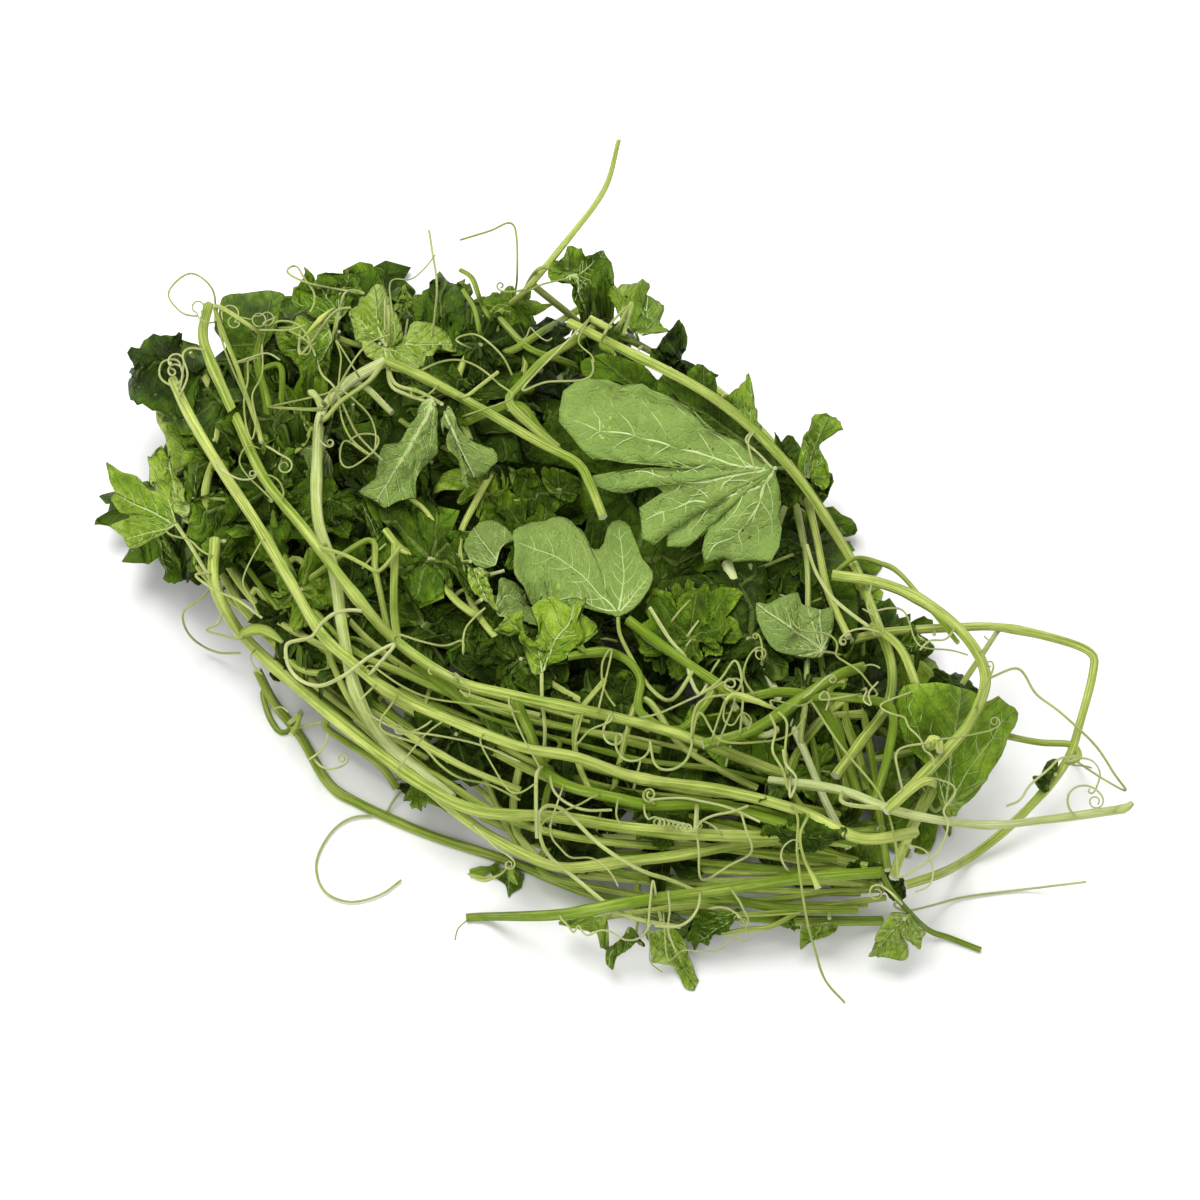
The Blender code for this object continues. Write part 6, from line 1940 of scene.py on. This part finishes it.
OVER_LINES = {
    "top_left_vine": (
        line(2.4, (215, 322), (205, 323, 60), (197, 316, 60), *ring(198, 307, 6, 90, 330, 61)),
        line(2.2, (222, 322), *ring(230, 314, 9, 130, 300, 62), *ring(234, 322, 6, 0, 300, 62),
             (246, 318, 62),
             *ring(259, 320, 7, 180, 400, 62), *ring(267, 319, 7, 200, 300, 63), (276, 317, 62)),
        line(3.2, (345, 292, 73), (365, 294), (320, 286, 74), (300, 280, 75), (286, 271, 76), (296, 265, 76),
             (305, 280, 75), (314, 292, 74), (314, 305, 72), (310, 312, 70)),
        line(3.6, (275, 322), (292, 322), (305, 332), (315, 355), (322, 375), (335, 388), (352, 425),
             (362, 440), (382, 460)),
        line(2.2, (395, 330), (390, 282, 78), (410, 280, 80), (425, 268, 82), (435, 255, 84)),
        line(4, (300, 355), (320, 330), (330, 316), (340, 309), (351, 308)),
        line((2.4, 2.4, 8, 2), (300, 340), (318, 322), (326, 314), (334, 308)),
        line(3, (250, 330), (270, 330), (290, 330), (305, 325)),
    ),
    "left_outer_vine": (
        line(3, (178, 385), (184, 376), *ring(176, 370, 7, 30, -500, 54, end=4, drift=(-6, 2))),
        line(3, (180, 390), (184, 362, 55), *ring(177, 358, 6, 0, -420, 56, end=3, drift=(-10, 6))),
        line(3.2, (180, 395), (188, 375), (182, 355, 56), (190, 348, 56), (205, 350, 56)),
        line(2.2, (262, 540), (246, 570), (243, 585), (252, 600), (258, 615)),
        line(4.5, (395, 645), (385, 648), (365, 660), (345, 675), (320, 686), (300, 680), (288, 665),
             (286, 645), (295, 641), (312, 637), (320, 625), (335, 613), (352, 610), (362, 611)),
        line(3, (358, 705), (375, 718), (400, 730), (440, 736), (480, 745), (520, 762)),
        line(2.8, (370, 665), (400, 685), (430, 698), (470, 704), (520, 712)),
        line(3.4, (380, 728), (420, 745), (440, 765), (460, 778), (490, 785), (520, 800)),
        line(2.6, (480, 742), (495, 770), (508, 790), (520, 793), (536, 783)),
        line(3.5, (793, 805), (798, 820), (797, 850), (802, 890), (808, 925, 12), (815, 950, 8),
             (825, 980, 5), (845, 1003, 3)),
        line((3.5, 3.5, 3.5, 8), (800, 835), (804, 858), (815, 880), (818, 888)),
    ),
    "left_inner_vine": (
        line(3.4, (322, 408), (335, 395), (345, 375), (360, 352), (375, 340), (390, 335)),
        line(2.8, (322, 395), (340, 390), (360, 405), (372, 420), (376, 440), (370, 455), (345, 440),
             (340, 460), (350, 468), (375, 450), (378, 436), (360, 434), (350, 440)),
        line(3, (325, 410), (328, 395), (336, 388), (342, 420), (352, 440), (370, 455)),
        line(2.6, (262, 450), (248, 445), (239, 460), (246, 474), (260, 488), (272, 500)),
        line(2.6, (270, 475), (280, 482), (284, 495), (280, 500)),
        line(6, (217, 306, 66), (222, 330, 60), (236, 365), (246, 395), (257, 425), (262, 445)),
        line(2.8, (248, 360), (248, 380), (244, 400), (246, 425), (252, 440), (256, 420), (252, 395),
             (262, 375), (262, 345)),
        line(2.6, (235, 363), (255, 356), (268, 353), (280, 360)),
    ),
    "left_second_vine": (
        line(3, (398, 634), (420, 641), (445, 646), (463, 640), (463, 655), (464, 632), (472, 620),
             (485, 608)),
        line(3, (612, 650), (603, 660), (602, 680), (607, 695), (615, 706)),
        line(3.6, (612, 712), (603, 730), (607, 742), (617, 745), (624, 738), (617, 733), (616, 748),
             (625, 760), (640, 760), (650, 750), (650, 740), (655, 765), (670, 770), (685, 762),
             (692, 745), (692, 725), (697, 705), (710, 697), (735, 693), (742, 680), (735, 660),
             (720, 680), (700, 695)),
        line(2.8, (735, 700), *ring(731, 684, 7, 90, 420, end=4)),
        line((2.6, 2.6, 9, 3), (728, 698), (752, 700), (768, 706), (777, 709)),
        line(3, (575, 745), (590, 730), (610, 722), (612, 716)),
        line(2.2, (455, 672), (470, 690), (468, 698), (460, 690)),
        line(3, (700, 712), (720, 740), (760, 742), (790, 735), (806, 715)),
        line(2.4, (725, 700), (723, 720), (733, 726), (742, 712), (752, 720), (748, 730)),
        line(3.6, (787, 775), (785, 750), (787, 722), (778, 712)),
        line(3.6, (788, 790), (783, 770), (772, 750), (776, 730), (770, 715)),
        line(3.6, (790, 798), (797, 778), (786, 765), (783, 750)),
    ),
    "centre_vine": (
        line(4, (550, 775), (553, 790), (565, 802), (585, 810), (612, 810)),
        line(2.8, (508, 700), (522, 735), (540, 768)), line(4.5, (537, 772), (536, 800), (537, 838)),
        line(3.4, (655, 806), *ring(650, 795, 8, 60, 560, end=3)),
        line(3.6, (650, 800), (680, 798), (700, 801), (730, 808), (760, 822)),
        line(3.6, (695, 832), (700, 822), (715, 815), (732, 812), (748, 806)),
        line(3.2, (697, 832), (699, 850), (702, 880), (730, 865), (752, 852), (746, 830), (741, 812)),
        line(3, (644, 812), *[point for turn in range(8)
                              for point in ring(654 + 4.5 * turn, 821 + turn, 5, 180, 360, drift=(4.5, 1))],
             (692, 833), (698, 826)),
        line(2.6, (550, 830), (562, 850), (572, 858), (592, 858), (610, 872), (618, 886)),
        line(3, (618, 800), (616, 815), (620, 824)),
    ),
    "bottom_stub_vine": (
        line(3.4, (653, 880), (650, 905), (648, 930)),
        line(2.8, (668, 890), (670, 910), (668, 930), (676, 952)),
        line(2.6, (560, 918), (568, 925), (574, 934), (578, 924), (586, 936), (600, 930), (612, 932),
             (625, 940), (640, 938), (650, 925)),
        line(2.2, (468, 920), (458, 928), (455, 940)),
        line(3.6, (700, 893), (699, 905), (690, 920), (675, 927), (655, 926)),
    ),
    "bottom_leaf_vine": (
        line(2, (668, 960, 12), (682, 950, 8), (705, 952, 5), (722, 948, 5), (730, 938, 5), (742, 940, 5)),
        line(2, (650, 945), (650, 962), (662, 972)),
    ),
    "front_left_vine": (
        line((9, 15, 13, 5), (242, 634), (254, 630), (268, 632), (282, 642)),
        line(3.4, (242, 640), (225, 636), (205, 630), (218, 624), (222, 612)),
        line(3, (212, 556), (200, 550), (190, 540), (170, 535), (165, 528), (176, 522)),
        line(4, (195, 575), (215, 590), (238, 600), (262, 618)),
        line(2.2, (250, 655), (255, 668), (262, 674)),
        line(2.6, (398, 768), (425, 735), (442, 722)),
    ),
    "outer_front_vine": (
        line(4, (292, 728), (306, 726), (320, 722)), line(3.4, (308, 760), (322, 750), (328, 734)),
        line((6, 5, 8), (300, 715), (297, 725), (291, 735)), line(2.4, (270, 712), (280, 706), (288, 712)),
        line((3, 3, 7, 2), (504, 872), (486, 880), (474, 876), (468, 874)),
        line((4, 9, 9, 3), (510, 876), (512, 878), (515, 882), (517, 884)),
    ),
    "right_leaf_vine": (
        line((14, 17, 14, 8), (930, 744), (934, 741), (939, 744), (940, 752)),
        line(3, (898, 878), (915, 870), (935, 855), (945, 838), (948, 822), (943, 810), (955, 795),
             (953, 785), (940, 780), (932, 778)),
        line(2.8, (880, 705), (895, 715), (905, 717), (908, 727), (915, 733), (923, 743), (923, 750),
             (932, 755), (934, 766)),
        line(3.4, (898, 750), (899, 775), (902, 792), (888, 810)),
        line(2.4, (905, 845), (925, 850), (933, 868), (930, 885), (915, 892)),
        line((10, 9), (922, 782), (886, 812)),
    ),
    "inner_right_vine": (
        line(3, (878, 695), (870, 685), (860, 672), (842, 660), (835, 655), (838, 645), (828, 634),
             (800, 630), (789, 615), (788, 598), (780, 595)),
        line(4.4, (870, 628), (850, 613), (830, 595), (815, 570), (807, 545)),
        line(2.6, (868, 690), (862, 700), (872, 706), (868, 694), (878, 682)),
        line(2.8, (820, 700), (824, 690), (830, 696), (826, 710)),
    ),
    "right_loop_vine": (
        line(2.6, (868, 610), (890, 608), (905, 612), (915, 640), (925, 648), (950, 650), (968, 655)),
        line(3, (945, 640), (930, 640), (920, 650)),
        line(2.4, (985, 650), (990, 642), (984, 636)),
    ),
    "far_right_vine": (
        line(3.4, (1076, 757), (1060, 758, 18), (1050, 768, 16), (1030, 785, 12), (1020, 800, 9),
             (1006, 806, 6)),
        line(2.4, (1072, 765), (1085, 766, 18), (1092, 768, 16)),
    ),
    "top_spike_vine": (
        line((5, 6, 7, 6), (490, 318), (480, 300, 84), (472, 278, 86), (460, 270, 86)),
        line(6, (480, 335), (475, 310, 80), (463, 290, 82)),
        line(3, (455, 340), (465, 335), (478, 335), (495, 348), (505, 360), (512, 375)),
        line(3, (512, 398), (500, 385), (480, 368), (460, 360), (440, 362), (422, 370)),
        line(5, (465, 397), (480, 386), (498, 372)),
        line(2.6, (525, 293), (540, 285, 86), (565, 279, 88)),
        line(2.2, (520, 340), (528, 334), (530, 326), (536, 334), (548, 342), (552, 338)),
        line(1.6, (490, 312), (498, 304, 80), (508, 306, 80)),
        line(1.6, (492, 314), (500, 310, 79), (511, 312, 79)),
    ),
    "top_right_vine": (
        line(3, (523, 388), (545, 382), (583, 380), (593, 372), (592, 360)),
        line(2.4, (578, 340), (585, 350), (592, 355), (594, 362)),
        line((3, 3, 9, 4), (600, 345), (606, 348), (612, 351), (615, 355)),
        line(5, (632, 302, 66), (628, 318, 62), (624, 334)), line(4, (628, 306, 64), (612, 322), (604, 334)),
        line(3.4, (745, 440), (760, 455), (772, 468)), line(3, (748, 440), (752, 460), (756, 472)),
    ),
    "crossing_vine": (
        line(2.6, (862, 667), (872, 664, 40), (880, 668, 40)), line(2.4, (770, 700), (800, 706), (812, 700)),
    ),
    "long_cut_end_vine": (
        line((10, 12, 7), (1118, 809, 18), (1126, 808, 18), (1132, 803, 18)),
        line(5, (840, 800), (850, 805), (880, 808)),
    ),
    "pale_upright_vine": (
        line(5, (320, 547), (345, 555), (368, 567), (378, 572), (390, 560), (400, 547)),
        line(6, (324, 420), (340, 402), (360, 388), (372, 378), (382, 364)),
        line(2.6, (336, 340), (341, 355), (340, 370), (338, 388)),
        line((5, 9, 6), (310, 392), (316, 396), (320, 408)),
    ),
}


# Materials


def material(name, roughness, specular=0.4):
    made = bpy.data.materials.new(name)
    made.use_nodes = True
    shader = made.node_tree.nodes["Principled BSDF"]
    shader.inputs["Roughness"].default_value = roughness
    shader.inputs["Specular IOR Level"].default_value = specular
    return made, made.node_tree, shader


def node(tree, kind, **settings):
    made = tree.nodes.new(kind)
    for key, value in settings.items():
        setattr(made, key, value)
    return made


def joined(tree, value, socket):
    """Sets a socket to a number or a colour, or links it to another socket."""
    if isinstance(value, bpy.types.NodeSocket):
        tree.links.new(value, socket)
    else:
        socket.default_value = value


def math_of(tree, operation, *values, clamp=False):
    made = node(tree, "ShaderNodeMath", operation=operation, use_clamp=clamp)
    for value, socket in zip(values, made.inputs):
        joined(tree, value, socket)
    return made.outputs[0]


def times(tree, a, b):
    return math_of(tree, "MULTIPLY", a, b)


def plus(tree, a, b, clamp=False):
    return math_of(tree, "ADD", a, b, clamp=clamp)


def minus(tree, a, b):
    return math_of(tree, "SUBTRACT", a, b)


def blend_of(tree, factor, a, b, mode="MIX"):
    made = node(tree, "ShaderNodeMix", data_type="RGBA", blend_type=mode)
    joined(tree, factor, made.inputs[0])
    joined(tree, a, made.inputs[6])
    joined(tree, b, made.inputs[7])
    return made.outputs[2]


def ramp_of(tree, value, low, high):
    """Zero at low and one at high, eased, where high may be the smaller."""
    made = node(tree, "ShaderNodeMapRange", interpolation_type="SMOOTHSTEP")
    joined(tree, value, made.inputs[0])
    made.inputs[1].default_value = low
    made.inputs[2].default_value = high
    return made.outputs[0]


def noise_of(tree, vector, scale, detail=3.0, roughness=0.6):
    made = node(tree, "ShaderNodeTexNoise")
    joined(tree, vector, made.inputs["Vector"])
    made.inputs["Scale"].default_value = scale
    made.inputs["Detail"].default_value = detail
    made.inputs["Roughness"].default_value = roughness
    return made.outputs[0]


def scaled(tree, vector, factors):
    made = node(tree, "ShaderNodeVectorMath", operation="MULTIPLY")
    joined(tree, vector, made.inputs[0])
    made.inputs[1].default_value = factors
    return made.outputs[0]


def named(tree, name):
    """A mesh attribute's parts as three sockets, and the vector itself."""
    source = node(tree, "ShaderNodeAttribute", attribute_name=name)
    parts = node(tree, "ShaderNodeSeparateXYZ")
    tree.links.new(source.outputs["Vector"], parts.inputs[0])
    return (*parts.outputs, source.outputs["Vector"])


def bumped(tree, shader, height, strength, distance):
    bump = node(tree, "ShaderNodeBump")
    bump.inputs["Strength"].default_value = strength
    bump.inputs["Distance"].default_value = distance
    tree.links.new(height, bump.inputs["Height"])
    tree.links.new(bump.outputs[0], shader.inputs["Normal"])


def colours_of(tree, value, stops):
    """A colour that follows a value through evenly spaced colours."""
    ramp = node(tree, "ShaderNodeValToRGB")
    elements = ramp.color_ramp.elements
    places = np.linspace(0, 1, len(stops))
    for place in places[1:-1]:
        elements.new(place)
    for element, colour in zip(elements, stops):
        element.color = (*colour, 1)
    tree.links.new(value, ramp.inputs[0])
    return ramp.outputs[0]


def vein_mask(tree, along, across, vector):
    """Veins of a seven-lobed leaf: strong down each lobe, thinner as herringbone, and a fine net."""
    angle = math_of(tree, "ARCTAN2", across, along)
    squares = plus(tree, times(tree, along, along), times(tree, across, across))
    reach = math_of(tree, "SQRT", squares)
    lobe = math_of(tree, "ROUND", math_of(tree, "DIVIDE", angle, LOBE_TURN))
    local = minus(tree, angle, times(tree, lobe, LOBE_TURN))
    out = times(tree, reach, math_of(tree, "COSINE", local))
    off = math_of(tree, "ABSOLUTE", times(tree, reach, math_of(tree, "SINE", local)))
    wobble = noise_of(tree, vector, 6.0)
    middle = ramp_of(tree, plus(tree, off, times(tree, out, 0.012)), 0.034, 0.012)
    slant = minus(tree, out, times(tree, off, 1.15))
    rows = plus(tree, times(tree, slant, 6.5), times(tree, wobble, 0.6))
    near = math_of(tree, "PINGPONG", rows, 0.5)
    side = ramp_of(tree, near, 0.10, 0.03)
    web = node(tree, "ShaderNodeTexVoronoi", feature="DISTANCE_TO_EDGE")
    tree.links.new(vector, web.inputs["Vector"])
    web.inputs["Scale"].default_value = 26.0
    net = ramp_of(tree, web.outputs["Distance"], 0.12, 0.02)
    return middle, side, net


def leaf_material():
    """A wilted leaf: near black to yellow green above, matte and paler below, with veins and wrinkles."""
    made, tree, shader = material(LEAF_FABRIC, 0.5, 0.08)
    along, across, seed, vector = named(tree, "plan")
    tone, under, reach, _ = named(tree, "shade")
    traced = math_of(tree, "GREATER_THAN", seed, TRACED_MARK - 1)
    middle, side, net = vein_mask(tree, along, across, vector)
    plain = minus(tree, 1.0, traced)
    middle = times(tree, middle, plain)
    side = times(tree, side, plain)
    broad = noise_of(tree, vector, 2.2)
    fine = noise_of(tree, vector, 18.0, 4.0, 0.7)
    blotch = noise_of(tree, vector, 6.5, 2.0)

    patchy = plus(tree, times(tree, broad, 0.8), times(tree, blotch, 0.6))
    level = plus(tree, tone, minus(tree, patchy, 0.68))
    level = plus(tree, level, times(tree, math_of(tree, "POWER", reach, 8.0), 0.22))
    # Low levels give near-black leaves: partly their own dark green, partly painted shade for leaves deep in
    # the heap.
    top = colours_of(tree, level, LEAF_TONES)
    vein = blend_of(tree, tone, (*UPPER_VEIN_DARK, 1), (*UPPER_VEIN, 1))
    top = blend_of(tree, times(tree, middle, 0.55), top, vein)
    top = blend_of(tree, times(tree, side, 0.26), top, vein)
    top = blend_of(tree, times(tree, net, 0.10), top, vein)
    bottom = blend_of(tree, broad, (*UNDER_DEEP, 1), (*UNDER_LIGHT, 1))
    bottom = blend_of(tree, times(tree, middle, 0.7), bottom, (*UNDER_VEIN, 1))
    bottom = blend_of(tree, times(tree, side, 0.4), bottom, (*UNDER_VEIN, 1))
    bottom = blend_of(tree, times(tree, net, 0.10), bottom, (*UNDER_VEIN, 1))
    dimmed = plus(tree, 0.45, times(tree, tone, 0.65))
    bottom = blend_of(tree, 1.0, bottom, math_of(tree, "MINIMUM", dimmed, 1.0), mode="MULTIPLY")
    specks = ramp_of(tree, noise_of(tree, vector, 30.0, 2.0), 0.66, 0.71)
    strewn = ramp_of(tree, blotch, 0.45, 0.6)
    specks = times(tree, specks, times(tree, strewn, 0.85))
    bottom = blend_of(tree, specks, bottom, (*SPECK, 1))
    colour = blend_of(tree, under, top, bottom)
    grained = plus(tree, 0.6, times(tree, fine, 0.8))
    colour = blend_of(tree, 0.6, colour, grained, mode="MULTIPLY")
    tree.links.new(colour, shader.inputs["Base Color"])
    rough = plus(tree, 0.46, times(tree, under, 0.24))
    tree.links.new(rough, shader.inputs["Roughness"])
    relief = plus(tree, times(tree, middle, 1.2), times(tree, side, 0.8))
    relief = plus(tree, relief, times(tree, net, 0.2))
    facing = minus(tree, times(tree, under, 2.0), 1.0)
    relief = times(tree, relief, facing)
    rough_leaf = minus(tree, 1.0, times(tree, under, 0.6))
    wrinkled = plus(tree, times(tree, fine, 1.4), times(tree, blotch, 4.5))
    relief = plus(tree, relief, times(tree, wrinkled, rough_leaf))
    bumped(tree, shader, relief, 1.0, 0.0010)
    return made


def stem_material(name, bright, deep, end):
    """A ribbed stem with streaks along it, darker patches and paler cut ends."""
    made, tree, shader = material(name, 0.45, 0.18)
    *_, grain = named(tree, "grain")
    tone, cut, *_ = named(tree, "shade")
    streak = noise_of(tree, scaled(tree, grain, (3.4, 3.4, 0.16)), 1.0, 4.0, 0.7)
    patch = noise_of(tree, scaled(tree, grain, (0.5, 0.5, 0.55)), 1.0)
    fine = noise_of(tree, scaled(tree, grain, (9.0, 9.0, 6.0)), 1.0)
    sharp = ramp_of(tree, streak, 0.36, 0.62)
    share = plus(tree, times(tree, sharp, 0.72), 0.04)
    share = plus(tree, share, times(tree, minus(tree, patch, 0.45), 1.5))
    share = plus(tree, share, minus(tree, tone, 0.5), clamp=True)
    colour = blend_of(tree, share, (*deep, 1), (*bright, 1))
    specks = ramp_of(tree, fine, 0.60, 0.76)
    colour = blend_of(tree, times(tree, specks, 0.4), colour, (*deep, 1))
    colour = blend_of(tree, cut, colour, (*end, 1))
    tree.links.new(colour, shader.inputs["Base Color"])
    relief = plus(tree, times(tree, streak, 1.6), times(tree, fine, 0.5))
    bumped(tree, shader, relief, 0.9, 0.0008)
    return made


def plain_material(name, colour, roughness):
    made, _, shader = material(name, roughness)
    shader.inputs["Base Color"].default_value = (*colour, 1)
    return made


# Pieces


def piece_of(name, meshes, fabric, vine):
    """One object from the gathered meshes, in place of a vine's solid."""
    if not meshes:
        return
    coords, loops, first, shade = [], [], [], []
    start = 0
    for points, faces, vectors, tones in meshes:
        coords.append(points)
        loops += [[index + start for index in face] for face in faces]
        first.append(vectors)
        shade.append(tones)
        start += len(points)
    data = bpy.data.meshes.new(name)
    data.from_pydata(in_frame(np.concatenate(coords)).tolist(), [], loops)
    for key, values in (("grain" if fabric.name != LEAF_FABRIC else "plan", first), ("shade", shade)):
        attribute = data.attributes.new(key, "FLOAT_VECTOR", "POINT")
        attribute.data.foreach_set("vector", np.concatenate(values).astype(np.float32).ravel())
    data.shade_smooth()
    data.materials.append(fabric)
    obj = bpy.data.objects.new(name, data)
    bpy.context.scene.collection.objects.link(obj)
    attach(obj, "root")
    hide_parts(vine)


def in_frame(points):
    """Points of the layout in the model's frame, in metres."""
    return (points - ORIGIN) * MM


def make_stage():
    bpy.ops.mesh.primitive_plane_add(size=6, location=(0, 0, -0.0002))
    floor = bpy.context.object
    floor.name = "floor"
    floor.data.materials.append(plain_material("pale floor", FLOOR_COLOUR, 0.7))
    world = bpy.data.worlds.new("studio")
    world.use_nodes = True
    world.node_tree.nodes["Background"].inputs["Color"].default_value = (1, 1, 1, 1)
    world.node_tree.nodes["Background"].inputs["Strength"].default_value = WORLD_LIGHT
    bpy.context.scene.world = world
    for name, place, size, power in LAMPS:
        lamp = bpy.data.lights.new(name, "AREA")
        lamp.shape = "DISK"
        lamp.size = size
        lamp.energy = power
        obj = bpy.data.objects.new(name, lamp)
        obj.location = place
        obj.rotation_euler = Vector(place).to_track_quat("Z", "Y").to_euler()
        bpy.context.scene.collection.objects.link(obj)
    bpy.context.scene.view_settings.view_transform = "Standard"


def make_camera():
    camera = bpy.data.cameras.new("camera")
    camera.lens = LENS
    camera.sensor_width = SENSOR
    obj = bpy.data.objects.new("camera", camera)
    aim = in_frame(np.array((0.0, 0.0, AIM_HEIGHT)))
    back = np.array((0.0, -math.cos(ELEVATION), math.sin(ELEVATION))) * DISTANCE * MM
    obj.location = aim + back
    obj.rotation_euler = (math.pi / 2 - ELEVATION, 0, 0)
    bpy.context.scene.collection.objects.link(obj)
    bpy.context.scene.camera = obj


def tube_meshes(tubes, rng):
    """Ribbed stems and smooth threads along the lines of a vine."""
    stems, threads = [], []
    for points, radii in tubes:
        if len(points) < 2:
            continue
        tone, seed = rng.uniform(*STEM_TONES), rng.uniform(0, SEEDS)
        if radii.max() > THREAD_WIDTH * PIXEL / 2:
            sides = STEM_SIDES if radii.max() > THIN_WIDTH * PIXEL / 2 else THIN_SIDES
            thinner = slice(None, None, 2) if len(points) > LONG_LINE else slice(None)
            radii = STEM_SLIM * knotted(radii, rng)
            stems.append(tube_mesh(smoothed(points)[thinner], radii[thinner], sides, RIB_DEPTH, tone, seed))
        else:
            slim = OVER_WIDTH if radii.max() < SLIM_WIDTH * PIXEL / 2 else 1.0
            path = smoothed(points, THREAD_ROUNDS)
            threads.append(tube_mesh(path, radii * slim, THREAD_SIDES, 0.0, tone, seed))
    return stems, threads


def blade_meshes(blades, rng):
    """Leaves of a vine, and the raised veins of those that were traced."""
    veins, leaves = [], []
    for points, plan, share, outline, piece in blades:
        seed = rng.uniform(0, SEEDS)
        tone = LOOKS[piece.look] + rng.uniform(-TONE_SPREAD, TONE_SPREAD)
        leaves.append(leaf_mesh(points, plan, share, piece, tone, seed))
        if piece.look in RAISED_LOOKS and piece.trace:
            size = np.linalg.norm(points[-1] - points[0].mean(axis=0), axis=1).max()
            scale = math.sqrt(size / VEIN_LEAF)
            for route, widths, normals in vein_lines(points, piece, plan, outline, scale):
                veins.append(vein_mesh(route, widths, normals, tone, seed))
    return veins, leaves


def dress(vine, tubes, blades, fabrics, rng):
    """Fine pieces in place of one vine's solid."""
    stems, threads = tube_meshes(tubes, rng)
    veins, leaves = blade_meshes(blades, rng)
    stem, slot = ("pale", "pale_stem") if vine.colour == "pale" else ("stem", "stem_green")
    piece_of(vine.name + "_stems", stems, fabrics[stem], vine.name)
    piece_of(vine.name + "_threads", threads, fabrics["thread"], vine.name)
    piece_of(vine.name + "_veins", veins, fabrics["vein"], vine.name)
    piece_of(vine.name + "_leaves", leaves, fabrics["leaf"], vine.name)


def main():
    fabrics = {
        "stem": stem_material("ribbed stem", STEM_BRIGHT, STEM_DEEP, CUT_END),
        "pale": stem_material("pale ribbed stem", PALE_BRIGHT, PALE_DEEP, CUT_END),
        "thread": stem_material("tendril", THREAD_BRIGHT, THREAD_DEEP, THREAD_BRIGHT),
        "vein": stem_material("raised vein", VEIN_BRIGHT, VEIN_DEEP, VEIN_BRIGHT),
        "leaf": leaf_material(),
    }
    vines = all_vines()
    top, heap = bare_table(), heap_field()
    laid, shown = [], []
    for index, vine in enumerate(vines):
        laid.append(lay_vine(vine, top, heap, shown, np.random.default_rng((SEED, index))))
    over = []
    for index, vine in enumerate(vines):
        over.append(lay_over(vine, laid[index][0], top, heap, np.random.default_rng((SEED, index, 1))))
    ceiling = open_ceiling()
    for index in reversed(range(len(vines))):
        _, solid, fine, held, loose = laid[index]
        leaves = []
        for made in held + loose:
            leaves.append((pressed(made[0], ceiling), *made[1:]))
            if made[-1].turn is not PLAN:
                press_ceiling(ceiling, leaves[-1][0].reshape(-1, 3), LEAF_REACH)
        tubes = solid + fine + over[index]
        dress(vines[index], tubes, leaves, fabrics, np.random.default_rng((SEED, index, 2)))
        for points, radii in solid + fine:
            press_ceiling(ceiling, dense(points), radii.max())
    make_stage()
    make_camera()


main()
